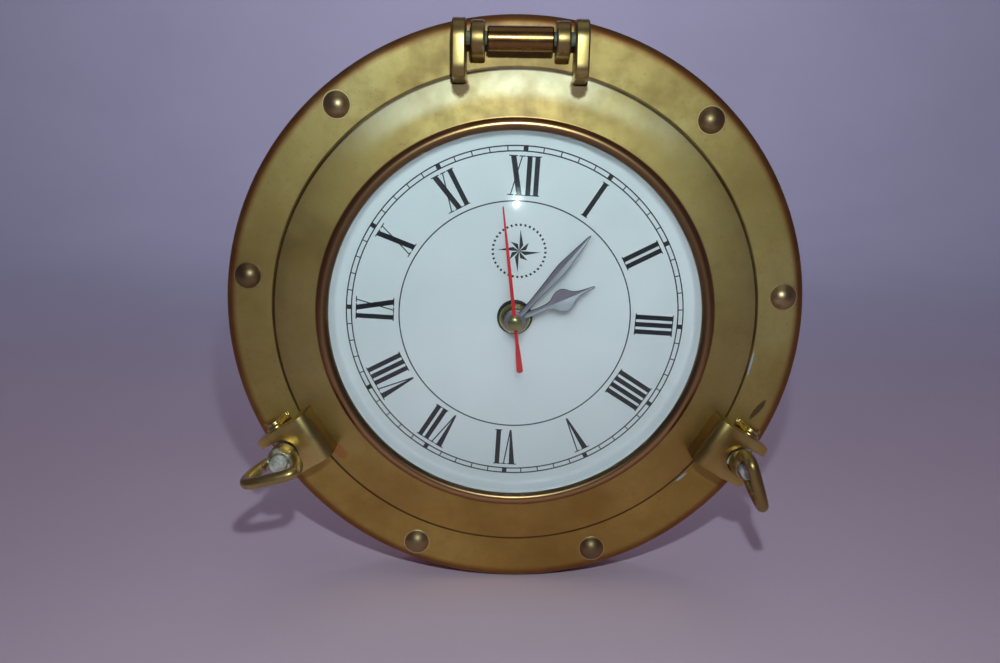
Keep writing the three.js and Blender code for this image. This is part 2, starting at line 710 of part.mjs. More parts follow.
// The stator is an L-shaped sheet: one arm holds the rotor, the other runs through the coil's end.
function stator() {
  const [x, y] = rotorCentre;
  const [low, high, armTop] = [7.2, 8.2, 24];
  const rotorArm = block(x - 5, x + 5, y - 5, armTop, low, high);
  const coilArm = block(x + 4, 18, 18.6, armTop, low, high);
  return cut(join(rotorArm, coilArm), rod(ROTOR_R + 0.4, low - PAST, high + PAST, x, y, 24));
}
add(dial, "stator", stator(), STEEL);
add(dial, "coil", rodAcross(2.4, -9, 13, 21.3, 11, 20), COPPER);
add(dial, "circuit_board", block(7, 25.5, -7, 15, 6, 7), GREEN);

// ---- dogs: fork lug on the door, bracket, swing bolt and stirrup nut on the flange ----
const FORK_BEND_R = 5.5;
const FORK_INNER = 88.8;
const FORK_OUTER = 112.4;
const FORK_CORNER_R = 3.4;

// A bent plate that stands on the door and reaches out over the bracket, with a notch for the
// bolt and rounded ends to its two arms.
function forkLug() {
  const half = FORK_WIDTH / 2;
  const under = FORK_FACE - FORK_PLATE;
  const [lipR, edgeR] = [1.7, 2.7];
  const profile = shapeOf([
    [FORK_INNER, 24],
    [94, 24],
    [94.2, under - 2.2],
    [96.2, under],
    ...arc(FORK_OUTER - lipR, under + lipR, lipR, 270, 360, 3),
    ...arc(FORK_OUTER - edgeR, FORK_FACE - edgeR, edgeR, 0, 90, 4),
    ...arc(FORK_INNER + FORK_BEND_R, FORK_FACE - FORK_BEND_R, FORK_BEND_R, 90, 180, 5),
  ]);
  const [low, high] = [under - PAST, FORK_FACE + PAST];
  const notch = join(
    rod(NOTCH_R, low, high, 0, DOG_RHO, 24),
    block(-NOTCH_R, NOTCH_R, DOG_RHO, FORK_OUTER + PAST, low, high),
  );
  const corner = (sign) => {
    const [x, y] = [sign * (half - FORK_CORNER_R), FORK_OUTER - FORK_CORNER_R];
    const [x0, x1] = [x, sign * (half + PAST)].sort((a, b) => a - b);
    return cut(
      block(x0, x1, y, FORK_OUTER + PAST, low, high),
      rod(FORK_CORNER_R, low - PAST, high + PAST, x, y, 24),
    );
  };
  return cut(sidePlate(profile, -half, half), underLugs, notch, corner(-1), corner(1));
}

// A round piece on the cross pin's axis.
const onCrossPin = (r, half, segments = 24) =>
  rodAcross(r, -half, half, DOG_RHO, DOG_PIVOT, segments);
const crossPinHole = onCrossPin(CROSS_PIN_R + PIN_PLAY, EAR_OUTSIDE + PAST);

function dogBracket() {
  const foot = FLANGE_FACE + 0.1;
  const [near, far] = [DOG_RHO - FOOT_HALF, DOG_RHO + FOOT_HALF];
  const ear = shapeOf([[near, foot], [far, foot], ...arc(DOG_RHO, DOG_PIVOT, EAR_R, 0, 180, 10)]);
  const inside = EYE_HALF + GAP;
  return cut(
    join(
      sidePlate(ear, inside, EAR_OUTSIDE),
      sidePlate(ear, -EAR_OUTSIDE, -inside),
      block(-EAR_OUTSIDE, EAR_OUTSIDE, near, far, foot, foot + FOOT_THICK),
    ),
    crossPinHole,
  );
}

function swingBolt() {
  const chamfer = 0.5;
  const shank = turned(
    [
      [0, DOG_PIVOT],
      [BOLT_R, DOG_PIVOT],
      [BOLT_R, BOLT_TOP - chamfer],
      [BOLT_R - chamfer, BOLT_TOP],
      [0, BOLT_TOP],
    ],
    20,
  );
  return cut(join(onCrossPin(EYE_R, EYE_HALF), shank.translate(0, DOG_RHO, 0)), crossPinHole);
}

// A tapered hub with a wire stirrup that springs from its sides and bows out to a round top.
function stirrupNut() {
  const low = FORK_FACE + GAP;
  const hubOutline = [
    [0, low],
    [HUB_R, low],
    [HUB_R, low + 5],
    [HUB_TOP_R, low + HUB_HEIGHT],
    [0, low + HUB_HEIGHT],
  ];
  const half = [
    [3.4, 42.6],
    [6.6, 47.5],
    [STIRRUP_HALF - 0.6, 54],
    [STIRRUP_HALF, 58.6],
    [8.4, 61.6],
    [4.5, STIRRUP_TOP],
  ];
  const side = (sign) => half.map(([r, z]) => new THREE.Vector3(0, sign * r, z));
  const middle = new THREE.Vector3(0, 0, STIRRUP_TOP + 0.2);
  const path = new THREE.CatmullRomCurve3([...side(-1), middle, ...side(1).reverse()]);
  const wire = new THREE.ExtrudeGeometry(
    new THREE.Shape().absarc(0, 0, STIRRUP_WIRE_R, 0, 2 * Math.PI),
    { extrudePath: path, steps: 26, curveSegments: 4, bevelEnabled: false },
  );
  const hole = rod(BOLT_R + GAP, low - PAST, BOLT_TOP + 2, 0, 0, 20);
  return cut(join(turned(hubOutline, 24), wire), hole);
}

for (const [side, angle] of [["right", DOG_ANGLE], ["left", -DOG_ANGLE]]) {
  const dog = station(angle);
  add(dog, `fork_lug_${side}`, forkLug(), BRASS);
  add(dog, `dog_bracket_${side}`, dogBracket(), BRASS);
  add(dog, `dog_pin_${side}`, onCrossPin(CROSS_PIN_R, EAR_OUTSIDE, 16), DARK_BRASS);
  add(dog, `swing_bolt_${side}`, swingBolt(), STEEL);
  const nut = add(dog, `stirrup_nut_${side}`, stirrupNut(), DARK_BRASS);
  nut.position.y = DOG_RHO;
  nut.rotation.z = rad(-NUT_TURN[side]);
}

export default clock;
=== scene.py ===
"""A nine inch porthole clock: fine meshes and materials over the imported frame."""
import math

import bmesh
import bpy
from mathutils import Matrix, Vector

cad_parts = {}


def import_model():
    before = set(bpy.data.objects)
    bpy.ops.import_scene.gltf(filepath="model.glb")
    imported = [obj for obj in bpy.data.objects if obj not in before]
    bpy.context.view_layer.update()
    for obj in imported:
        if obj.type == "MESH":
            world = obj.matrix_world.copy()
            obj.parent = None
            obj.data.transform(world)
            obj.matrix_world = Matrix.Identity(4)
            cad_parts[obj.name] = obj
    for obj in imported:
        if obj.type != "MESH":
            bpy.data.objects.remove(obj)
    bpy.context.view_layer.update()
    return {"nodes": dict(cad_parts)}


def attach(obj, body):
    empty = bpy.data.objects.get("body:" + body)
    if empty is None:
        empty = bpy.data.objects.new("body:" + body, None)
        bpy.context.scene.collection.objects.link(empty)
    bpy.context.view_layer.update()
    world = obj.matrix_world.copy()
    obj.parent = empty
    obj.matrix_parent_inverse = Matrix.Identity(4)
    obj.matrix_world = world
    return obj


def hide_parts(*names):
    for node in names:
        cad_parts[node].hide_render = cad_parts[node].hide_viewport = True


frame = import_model()

# ---- driving dimensions, in millimetres and degrees, in the front frame ----
# The front frame has x to the right, y up the dial and z out of the wall plane.
# A station is a clockwise angle from the top of the dial and a distance from its centre.
FLANGE_R = 114.3
FLANGE_FACE = 24
SKIRT_WALL = 4.5
BORE_R = 74.8
LEDGE_R = 68.5
DIAL_FACE = 20.4
RIVET_CIRCLE_R = 105.9
RIVET_TURN = 1.5
RIVET_ANGLES = [41.4, 82.9, 159.5, -159.5, -82.9, -41.4]
DOOR_R = 95.4
DOOR_BACK = 24.4
HINGE_RHO = 105
HINGE_HEIGHT = 33.6
PIN_R = 2.5
KNUCKLE_R = 6.3
KNUCKLE_MID = 15.2
DOOR_LUG_R = 7
DOOR_LUG_MID = 21.8
LUG_WIDTH = 5
DOG_ANGLE = 120.4
DOG_RHO = 105
DOG_PIVOT = 29.8
FORK_FACE = 38.5
FORK_HALF = 10
NOTCH_R = 5.75
EAR_R = 3.8
EAR_OUTSIDE = 12
NUT_TURN = {"left": 16, "right": 41.5}
DIAL_TURN = 2.7
POST_CIRCLE_R = 100
POST_ANGLES = [20, 100, 180, 260]

# Dial print: the height of the numerals and of the minute track, and the strokes' widths.
NUMERALS = ["XII", "I", "II", "III", "IIII", "V", "VI", "VII", "VIII", "IX", "X", "XI"]
NUMERAL_FOOT = 48.0
NUMERAL_TOP = 63.2
LETTER_WIDTH = {"I": 3.0, "V": 6.6, "X": 6.6}
THICK = 1.9
SERIF = 0.42
RING_LINE = 0.5
TRACK_IN = 64.9
TRACK_OUT = 66.9
CHAPTER_R = 46.0
ROSE_Y = 26.5
PRINT_BACK = DIAL_FACE - 0.02
PRINT_FACE = DIAL_FACE + 0.03

# Hands: where each one points, how high it turns, its edges with the painted shadow round them, and half
# its width along it.
HOUR_AT = 63
MINUTE_AT = 37
SECOND_AT = -9.4
HOUR_HEIGHT = DIAL_FACE + 6
MINUTE_HEIGHT = DIAL_FACE + 8
SECOND_HEIGHT = DIAL_FACE + 10.2
HAND_SHADOW_WIDTH = 0.28
HAND_EDGE = 0.12
HOUR_SIDE = [
    (1.0, 1.0), (0.95, 4), (0.9, 8), (0.92, 12), (1.15, 14.6), (1.9, 16.2), (3.1, 17.6), (3.9, 19),
    (4.2, 20.6), (3.95, 22), (3.2, 23.3), (2.1, 24.5), (1.3, 25.8), (0.8, 27.5), (0.5, 30), (0.18, 33.4),
]
MINUTE_SIDE = [
    (0.8, 1.0), (0.85, 8), (1.1, 15), (1.45, 21), (1.75, 25.5), (1.85, 27.6),
    (1.7, 30), (1.25, 34), (0.85, 38), (0.45, 41.5), (0.15, 43.8),
]
SECOND_SIDE = [(0.95, -12), (0.65, -8), (0.66, 4), (0.66, 12), (0.6, 26), (0.28, 45.3)]

# How finely pieces are made: sides of a full turn, rounded edges, and welded castings.
FINE = 192
WELD_DISTANCE = 1e-7
BEVEL_STEPS = 4
BEVEL_ANGLE = 40
CAST_SMOOTHING = 8
CAST_SHARP = 60


# ---- mesh helpers ----
def world(p):
    """A front-frame point in millimetres, as a scene point in metres."""
    return Vector((p[0], -p[2], p[1])) / 1000


def arc(cx, cy, r, start, end, steps):
    """Points of an arc, from one angle to another in degrees."""
    angles = [math.radians(start + (end - start) * i / steps) for i in range(steps + 1)]
    return [(cx + r * math.cos(a), cy + r * math.sin(a)) for a in angles]


def placed(points, angle, rho=0.0):
    """Points drawn at a station: y out along the radius at a clockwise angle, x along the rim."""
    a = math.radians(angle)
    s, c = math.sin(a), math.cos(a)
    return [(x * c + (y + rho) * s, -x * s + (y + rho) * c, z) for x, y, z in points]


def moved(obj, to_place):
    """Gives each point of a piece a new place, both in the front frame."""
    for v in obj.data.vertices:
        v.co = world(to_place(v.co.x * 1000, v.co.z * 1000, -v.co.y * 1000))
    return obj


def to_station(angle, rho=0.0):
    """The move that takes a point drawn about a station's axis out to that station."""
    return lambda x, y, z: placed([(x, y, z)], angle, rho)[0]


def rotated(outline, angle):
    """A flat outline turned clockwise about the origin."""
    return [(x, y) for x, y, _ in placed([(x, y, 0) for x, y in outline], angle)]


def smooth_path(points, steps):
    """A Catmull-Rom line through points."""
    last = len(points) - 1
    out = []
    for i in range(last):
        p0, p1, p2, p3 = (Vector(points[max(0, min(last, i + k))]) for k in (-1, 0, 1, 2))
        slope = p2 - p0
        bend = 2 * p0 - 5 * p1 + 4 * p2 - p3
        twist = 3 * p1 - p0 - 3 * p2 + p3
        for s in range(steps):
            t = s / steps
            out.append(0.5 * (2 * p1 + slope * t + bend * t * t + twist * t**3))
    out.append(Vector(points[-1]))
    return out


def smooth_line(points, steps):
    """A smooth outline through flat points."""
    return [(p.x, p.y) for p in smooth_path([(x, y, 0) for x, y in points], steps)]


def skin(rows, sides, closed=False):
    """Faces between rows of points, where each row is a loop of the same number of sides."""
    faces = []
    for row in range(rows if closed else rows - 1):
        a, b = row * sides, ((row + 1) % rows) * sides
        for k in range(sides):
            j = (k + 1) % sides
            faces.append((a + k, a + j, b + j, b + k))
    return faces


def end_caps(rows, sides):
    """Faces over the first and the last row of a skin."""
    return [tuple(reversed(range(sides))), tuple(range((rows - 1) * sides, rows * sides))]


def mesh_object(name, points, faces, sharp=30):
    """A mesh of front-frame points, with its normals put right."""
    mesh = bpy.data.meshes.new(name)
    mesh.from_pydata([world(p) for p in points], [], faces)
    mesh.update()
    obj = bpy.data.objects.new(name, mesh)
    bpy.context.scene.collection.objects.link(obj)
    tidy_normals(obj, sharp)
    return obj


def tidy_normals(obj, sharp=30):
    """Welds doubled points, turns the faces outward and keeps edges past an angle sharp."""
    bm = bmesh.new()
    bm.from_mesh(obj.data)
    bmesh.ops.remove_doubles(bm, verts=bm.verts, dist=WELD_DISTANCE)
    bmesh.ops.recalc_face_normals(bm, faces=bm.faces)
    bm.to_mesh(obj.data)
    bm.free()
    obj.data.shade_smooth()
    obj.data.set_sharp_from_angle(angle=math.radians(sharp))


def finished(obj, body, material, node=None):
    """Gives a piece its material and body, and hides the CAD node that it stands for."""
    obj.data.materials.clear()
    obj.data.materials.append(material)
    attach(obj, body)
    if node:
        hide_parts(node)
    return obj


def turned(name, profile, segments=FINE, station=None, sharp=30):
    """A solid of revolution about z. A ring's profile closes on itself; a solid's ends on the axis."""
    is_ring = profile[0][0] > 0
    turns = [2 * math.pi * i / segments for i in range(segments)]
    points = [(r * math.sin(a), r * math.cos(a), z) for r, z in profile for a in turns]
    if station:
        points = placed(points, *station)
    return mesh_object(name, points, skin(len(profile), segments, is_ring), sharp)


def applied(obj):
    """Replaces a mesh by its evaluated one, with no modifier left."""
    graph = bpy.context.evaluated_depsgraph_get()
    graph.update()
    mesh = bpy.data.meshes.new_from_object(obj.evaluated_get(graph))
    obj.modifiers.clear()
    old = obj.data
    obj.data = mesh
    bpy.data.meshes.remove(old)
    return obj


def bevelled(obj, width):
    """Rounds every sharp edge of a piece."""
    mod = obj.modifiers.new("bevel", "BEVEL")
    mod.width = width / 1000
    mod.segments = BEVEL_STEPS
    mod.limit_method = "ANGLE"
    mod.angle_limit = math.radians(BEVEL_ANGLE)
    applied(obj)
    tidy_normals(obj)
    return obj


def prism(name, outline, low, high, to_point):
    """An outline raised from low to high; to_point(u, v, w) gives each corner's place."""
    n = len(outline)
    points = [to_point(u, v, w) for w in (low, high) for u, v in outline]
    return mesh_object(name, points, end_caps(2, n) + skin(2, n))


def across(u, v, w):
    """An outline in the radius and height, raised along the rim."""
    return (w, u, v)


def flat(u, v, w):
    """An outline on the dial's plane, raised towards the front."""
    return (u, v, w)


def swept(name, path, radius, sides):
    """A round tube along a path of points, with closed ends."""
    points = []
    last = len(path) - 1
    normal = None
    for i, p in enumerate(path):
        tangent = (path[min(i + 1, last)] - path[max(i - 1, 0)]).normalized()
        if normal is None:
            seed = Vector((0, 0, 1)) if abs(tangent.z) < 0.9 else Vector((1, 0, 0))
            normal = tangent.cross(seed).normalized()
        normal = (normal - tangent * normal.dot(tangent)).normalized()
        side = tangent.cross(normal)
        for k in range(sides):
            a = 2 * math.pi * k / sides
            points.append(p + normal * (radius * math.cos(a)) + side * (radius * math.sin(a)))
    return mesh_object(name, points, skin(len(path), sides) + end_caps(len(path), sides))


def joined(name, parts):
    """Joins objects into one mesh."""
    bm = bmesh.new()
    for part in parts:
        bm.from_mesh(part.data)
        bpy.data.objects.remove(part)
    mesh = bpy.data.meshes.new(name)
    bm.to_mesh(mesh)
    bm.free()
    obj = bpy.data.objects.new(name, mesh)
    bpy.context.scene.collection.objects.link(obj)
    return obj


def combined(name, parts, sharp):
    """One piece of parts that touch or overlap."""
    obj = joined(name, parts)
    tidy_normals(obj, sharp)
    return obj


def cast(name, parts, voxel):
    """One cast skin round overlapping parts, smooth where they meet; voxel is its grain in mm."""
    obj = joined(name, parts)
    weld = obj.modifiers.new("weld", "REMESH")
    weld.mode = "VOXEL"
    weld.voxel_size = voxel / 1000
    applied(obj)
    soften = obj.modifiers.new("soften", "SMOOTH")
    soften.factor = 0.5
    soften.iterations = CAST_SMOOTHING
    applied(obj)
    tidy_normals(obj, CAST_SHARP)
    return obj


def less(obj, tool, how="DIFFERENCE"):
    """Cuts a tool out of a piece, or keeps only what it covers."""
    mod = obj.modifiers.new("cut", "BOOLEAN")
    mod.operation = how
    mod.solver = "EXACT"
    mod.object = tool
    applied(obj)
    bpy.data.objects.remove(tool)
    tidy_normals(obj)
    return obj


# ---- materials ----
BUMP_DEPTH = 0.0002


class Paint:
    """A node material, with short calls for the nodes it needs."""

    def __init__(self, name):
        self.material = bpy.data.materials.new(name)
        self.material.use_nodes = True
        self.tree = self.material.node_tree
        self.shader = self.tree.nodes["Principled BSDF"]
        self.place = self.node("ShaderNodeTexCoord").outputs["Object"]

    def node(self, kind, **values):
        """Adds a node with some of its properties set."""
        made = self.tree.nodes.new(kind)
        for key, value in values.items():
            setattr(made, key, value)
        return made

    def link(self, out, into):
        """Joins a node's output to another's input."""
        self.tree.links.new(out, into)

    def noise(self, scale, detail=4, rough=0.55):
        """Noise over the piece's own place, its scale in waves for each metre."""
        made = self.node("ShaderNodeTexNoise")
        made.inputs["Scale"].default_value = scale
        made.inputs["Detail"].default_value = detail
        made.inputs["Roughness"].default_value = rough
        self.link(self.place, made.inputs["Vector"])
        return made.outputs["Fac"]

    def ramp(self, value, *stops):
        """A value turned into colours or greys through stops of a place and a tone."""
        made = self.node("ShaderNodeValToRGB")
        points = made.color_ramp.elements
        for i, (where, colour) in enumerate(stops):
            point = points[i] if i < 2 else points.new(where)
            point.position = where
            point.color = (*colour, 1) if isinstance(colour, tuple) else (colour,) * 3 + (1,)
        self.link(value, made.inputs["Fac"])
        return made.outputs["Color"]

    def math(self, how, a, b=0.0):
        """A number worked out from two, where each is a value or another node's output."""
        made = self.node("ShaderNodeMath", operation=how)
        for socket, value in zip(made.inputs, (a, b)):
            if isinstance(value, (int, float)):
                socket.default_value = value
            else:
                self.link(value, socket)
        return made.outputs[0]

    def span(self, value, low, high, out_low=0.0, out_high=1.0):
        """A smooth step from out_low to out_high as the value goes from low to high."""
        made = self.node("ShaderNodeMapRange", interpolation_type="SMOOTHSTEP")
        self.link(value, made.inputs["Value"])
        made.inputs["From Min"].default_value = low
        made.inputs["From Max"].default_value = high
        made.inputs["To Min"].default_value = out_low
        made.inputs["To Max"].default_value = out_high
        return made.outputs["Result"]

    def mix(self, factor, a, b, blend="MIX"):
        """Colour a turned into colour b, or multiplied by it, as far as the factor says."""
        made = self.node("ShaderNodeMix", data_type="RGBA", blend_type=blend)
        for socket, value in zip((made.inputs[0], made.inputs[6], made.inputs[7]), (factor, a, b)):
            if isinstance(value, tuple):
                socket.default_value = (*value, 1)
            elif isinstance(value, (int, float)):
                socket.default_value = value
            else:
                self.link(value, socket)
        return made.outputs[2]

    def axes(self):
        """The point's X, Y and Z in metres."""
        made = self.node("ShaderNodeSeparateXYZ")
        self.link(self.place, made.inputs[0])
        return made.outputs

    def radius(self, about=(0.0, 0.0)):
        """Distance in metres from an axis along Y through a point in X and Z."""
        x, _, z = self.axes()
        dx = self.math("SUBTRACT", x, about[0])
        dz = self.math("SUBTRACT", z, about[1])
        return self.math("SQRT", self.math("ADD", self.times(dx, dx), self.times(dz, dz)))

    def blend_values(self, factor, a, b):
        """The number a turned into the number b by a factor."""
        kept = self.times(a, self.math("SUBTRACT", 1.0, factor))
        return self.math("ADD", kept, self.times(factor, b))

    def times(self, a, b):
        """The product of two values, or how far two shares hold together."""
        return self.math("MULTIPLY", a, b)

    def ring(self, low, high, fade, amount):
        """How much of a band between two radii in millimetres covers a point, broken up by noise."""
        radius = self.radius()
        inside = self.span(radius, (low - fade) / 1000, low / 1000)
        outside = self.span(radius, high / 1000, (high + fade) / 1000, 1.0, 0.0)
        broken = self.span(self.noise(60, 4), 0.25, 0.6, amount * 0.7, amount)
        return self.times(self.times(inside, outside), broken)

    def patch(self, x, y, long, wide, turn):
        """A ragged oval mark at x, y in millimetres, its length turned anticlockwise from x."""
        a = math.radians(turn)
        px, _, pz = self.axes()
        dx = self.math("SUBTRACT", px, x / 1000)
        dz = self.math("SUBTRACT", pz, y / 1000)
        parts = []
        for cx, cz, half in ((math.cos(a), math.sin(a), long), (-math.sin(a), math.cos(a), wide)):
            total = self.math("ADD", self.times(dx, cx), self.times(dz, cz))
            scaled = self.math("DIVIDE", total, half / 1000)
            parts.append(self.times(scaled, scaled))
        reach = self.math("ADD", self.math("ADD", *parts), self.noise(420, 3))
        return self.span(reach, 1.0, 1.6, 1.0, 0.0)

    def bump(self, height, strength):
        """Roughens the shading by a share of the bump depth."""
        made = self.node("ShaderNodeBump")
        made.inputs["Strength"].default_value = strength
        made.inputs["Distance"].default_value = BUMP_DEPTH
        self.link(height, made.inputs["Height"])
        self.link(made.outputs["Normal"], self.shader.inputs["Normal"])

    def set(self, **values):
        """Sets or links the shader's sockets and gives back the material."""
        for key, value in values.items():
            socket = self.shader.inputs[key.replace("_", " ")]
            if isinstance(value, tuple):
                socket.default_value = (*value, 1)
            elif isinstance(value, (int, float)):
                socket.default_value = value
            else:
                self.link(value, socket)
        return self.material


# The brass of the flange and the door, from its cleanest to its brownest, what marks it, and the painted
# shade, reflection and highlight on it.
PALE = (0.655, 0.515, 0.20)
MID = (0.55, 0.405, 0.138)
BROWN = (0.42, 0.275, 0.085)
RIM_BROWN = (0.30, 0.105, 0.028)
GROOVE_SHADE = (0.12, 0.055, 0.018)
LUG_FOOT_BROWN = (0.11, 0.055, 0.018)
TOP_HIGHLIGHT = (0.96, 0.90, 0.62)
COPPER_RED = (0.62, 0.23, 0.07)
SALT = (0.42, 0.52, 0.56)
DARK_REFLECTION = (0.10, 0.07, 0.03)
BLOOM = (0.72, 0.70, 0.60)
GREEN_BLOOM = (0.34, 0.38, 0.28)

# How the brass warms low down on the clock, and over what heights in metres.
LOW_WARM_TINT = (1.12, 0.97, 0.72)
LOW_TINT_RISE = (-0.085, -0.005)

# Marks on the face: x, y, half length, half width, and turn from x, in millimetres and degrees. The dark
# dash is a painted reflection.
DARK_REFLECTION_DASH = (99.6, -36.6, 5.4, 1.3, 54)
SALT_MARKS = ((95.0, -17.5, 5.6, 0.45, 80), (70.4, -66.8, 3.0, 0.45, 42))
RED_PATCH = (-70.9, -56.2, 4.6, 2.6, 128)
# Where the hinge lugs' feet meet the door, the brass is darker brown.
LUG_FOOT_PATCHES = [(sign * DOOR_LUG_MID, 88.6, 4.4, 3.6, 90) for sign in (-1, 1)]

# Where the door has a painted highlight near its top and where its dark bead ends, by radius and height
# in metres.
TOP_HIGHLIGHT_RADIUS = (0.083, 0.0885)
TOP_HIGHLIGHT_HEIGHT = (0.058, 0.084)
BEAD_EDGE = (0.0776, 0.0784)
BEAD_START = 0.073
BEAD_WIDTH = 0.005

# The forks' side towards the glass, which gets painted shade, by radius, and the hinge's roots by depth,
# in metres.
FORK_SHADED_SIDE = (0.0895, 0.0925)
HINGE_ROOTS = (-0.0315, -0.0262)

# Where corrosion whitens a bolt's nut: distance from its axis, and how far forward, in metres.
BLOOM_RADIUS = (0.0050, 0.0075)
BLOOM_REACH = (-0.053, -0.049)

# The gaps on either side of a knuckle, as distances in millimetres from the hinge's middle.
HINGE_GAPS = (KNUCKLE_MID - LUG_WIDTH / 2, KNUCKLE_MID + LUG_WIDTH / 2 + 0.8)


def aged(p, pale, mid, brown, rough, warm=0.0, pits=0.05):
    """Colour and roughness of satin brass gone olive and brown, browner towards the right with painted
    shade, and warmer low down by the warm share.
    """
    # The span along x browns the brass towards the right: painted shade.
    broad = p.math("ADD", p.noise(13, 4, 0.55), p.span(p.axes()[0], -0.1, 0.1, 0.04, -0.07))
    close = p.noise(95, 5, 0.6)
    colour = p.ramp(broad, (0.34, brown), (0.5, mid), (0.66, pale))
    colour = p.mix(p.ramp(close, (0.44, 0.0), (0.72, 0.35)), colour, brown)
    # Warmer and browner towards the bottom of the clock.
    low_down = p.span(p.axes()[2], *LOW_TINT_RISE, warm, 0.0)
    colour = p.mix(low_down, colour, p.mix(1.0, colour, LOW_WARM_TINT, "MULTIPLY"))
    specks = p.ramp(p.noise(900, 2), (0.66, 0.0), (0.74, 0.35))
    colour = p.mix(specks, colour, tuple(c / 2 for c in brown))
    p.bump(p.noise(420, 4), pits)
    p.set(Coat_Weight=0.15, Coat_Roughness=0.36)
    return colour, p.span(close, 0.3, 0.75, rough - 0.05, rough + 0.08)


def brass(name, pale, mid, brown, rough, bloom=0.0, about=(0.0, 0.0)):
    """Brass for the small castings, with some whitish bloom where it has corroded round a bolt."""
    p = Paint(name)
    colour, roughness = aged(p, pale, mid, brown, rough)
    near = p.times(p.span(p.radius(about), *BLOOM_RADIUS, 1.0, 0.0), p.span(p.axes()[1], *BLOOM_REACH))
    white = p.times(p.ramp(p.noise(240, 5, 0.7), (0.46, 0.0), (0.62, bloom)), near)
    colour = p.mix(white, colour, BLOOM)
    return p.set(Base_Color=colour, Roughness=roughness, Metallic=p.math("SUBTRACT", 1.0, white))


def flange_brass():
    """The flange's brass: browner at its rim, with painted shade in the door's groove, a dark dash of
    painted reflection and two salt marks.
    """
    p = Paint("flange_brass")
    colour, roughness = aged(p, PALE, MID, BROWN, 0.6, 1.0, 0.12)
    colour = p.mix(p.ring(FLANGE_R - 2.3, FLANGE_R + 3.7, 2.6, 0.9), colour, RIM_BROWN)
    # Painted shade in the groove where the door's edge meets the flange.
    colour = p.mix(p.ring(DOOR_R - 1, DOOR_R + 0.5, 0.4, 0.95), colour, GROOVE_SHADE)
    # A dark dash beside the right dog: a painted reflection of the dark gap by its fork.
    colour = p.mix(p.times(p.patch(*DARK_REFLECTION_DASH), 0.8), colour, DARK_REFLECTION)
    salt = p.math("MAXIMUM", p.patch(*SALT_MARKS[0]), p.patch(*SALT_MARKS[1]))
    colour = p.mix(salt, colour, SALT)
    return p.set(Base_Color=colour, Roughness=roughness, Metallic=p.math("SUBTRACT", 1.0, salt))


def door_brass():
    """The door's brass: a painted highlight near the top, painted shade in the groove at its edge, and a
    dark, polished bead round the glass with painted shade and a painted highlight on it.
    """
    p = Paint("door_brass")
    colour, roughness = aged(p, PALE, MID, BROWN, 0.55, 1.0, 0.12)
    # Painted shade in the groove at the door's outer edge.
    colour = p.mix(p.ring(DOOR_R - 0.7, DOOR_R + 0.6, 0.5, 0.9), colour, GROOVE_SHADE)
    colour = p.mix(p.times(p.patch(*RED_PATCH), 0.6), colour, COPPER_RED)
    radius = p.radius()
    # A pale patch near the top of the door: a painted highlight.
    top_highlight = p.times(p.span(radius, *TOP_HIGHLIGHT_RADIUS), p.span(p.axes()[2], *TOP_HIGHLIGHT_HEIGHT))
    top_highlight = p.times(top_highlight, p.span(p.noise(34, 4), 0.3, 0.66, 0.12, 0.62))
    colour = p.mix(top_highlight, colour, TOP_HIGHLIGHT)
    roughness = p.blend_values(top_highlight, roughness, 0.52)
    # Darker brown round the hinge lugs' feet.
    for foot_patch in LUG_FOOT_PATCHES:
        colour = p.mix(p.times(p.patch(*foot_patch), 0.92), colour, LUG_FOOT_BROWN)
    bead = p.span(radius, *BEAD_EDGE, 1.0, 0.0)
    # Across the bead: painted shade on its inner side, a painted highlight along its crest, and painted
    # shade at its outer foot.
    tones = p.ramp(
        p.math("DIVIDE", p.math("SUBTRACT", radius, BEAD_START), BEAD_WIDTH),
        (0.0, (0.13, 0.075, 0.035)),
        (0.30, (0.26, 0.145, 0.062)),
        (0.48, (0.57, 0.33, 0.13)),
        (0.66, (0.44, 0.22, 0.092)),
        (1.0, (0.20, 0.09, 0.04)),
    )
    colour = p.mix(bead, colour, tones)
    polished = p.blend_values(bead, roughness, 0.3)
    return p.set(Base_Color=colour, Roughness=polished, Metallic=1.0)


def fork_brass():
    """The door forks' brass: olive on top, with painted shade in brown on the side that faces the glass.
    """
    p = Paint("fork_brass")
    colour, roughness = aged(p, (0.86, 0.68, 0.27), (0.68, 0.49, 0.165), (0.44, 0.28, 0.08), 0.36)
    # Painted shade on the fork's side that faces the glass.
    colour = p.mix(p.span(p.radius(), *FORK_SHADED_SIDE, 0.85, 0.0), colour, (0.19, 0.105, 0.03))
    return p.set(Base_Color=colour, Roughness=roughness, Metallic=1.0)


def close_to(p, value, at):
    """One where a length in metres is close to a place in millimetres, nought a millimetre away."""
    away = p.math("ABSOLUTE", p.math("SUBTRACT", value, at / 1000))
    return p.span(away, 0.0004, 0.0011, 1.0, 0.0)


def hinge_brass():
    """The hinge's brass: brown at the roots and on the knuckles, with verdigris in the gaps."""
    p = Paint("hinge_brass")
    colour, roughness = aged(p, (0.80, 0.67, 0.30), (0.62, 0.48, 0.19), (0.42, 0.28, 0.09), 0.36)
    x, y, _ = p.axes()
    colour = p.mix(p.times(p.span(y, *HINGE_ROOTS), 0.8), colour, (0.28, 0.13, 0.045))
    side = p.math("ABSOLUTE", x)
    knuckle = (KNUCKLE_MID + LUG_WIDTH / 2) / 1000
    colour = p.mix(p.span(side, knuckle, knuckle + 0.0006, 0.65, 0.0), colour, (0.36, 0.22, 0.08))
    packed = p.math("MAXIMUM", *[close_to(p, side, gap) for gap in HINGE_GAPS])
    green = p.times(packed, p.ramp(p.noise(330, 5, 0.7), (0.44, 0.0), (0.62, 0.6)))
    colour = p.mix(green, colour, GREEN_BLOOM)
    return p.set(Base_Color=colour, Roughness=roughness, Metallic=p.math("SUBTRACT", 1.0, green))


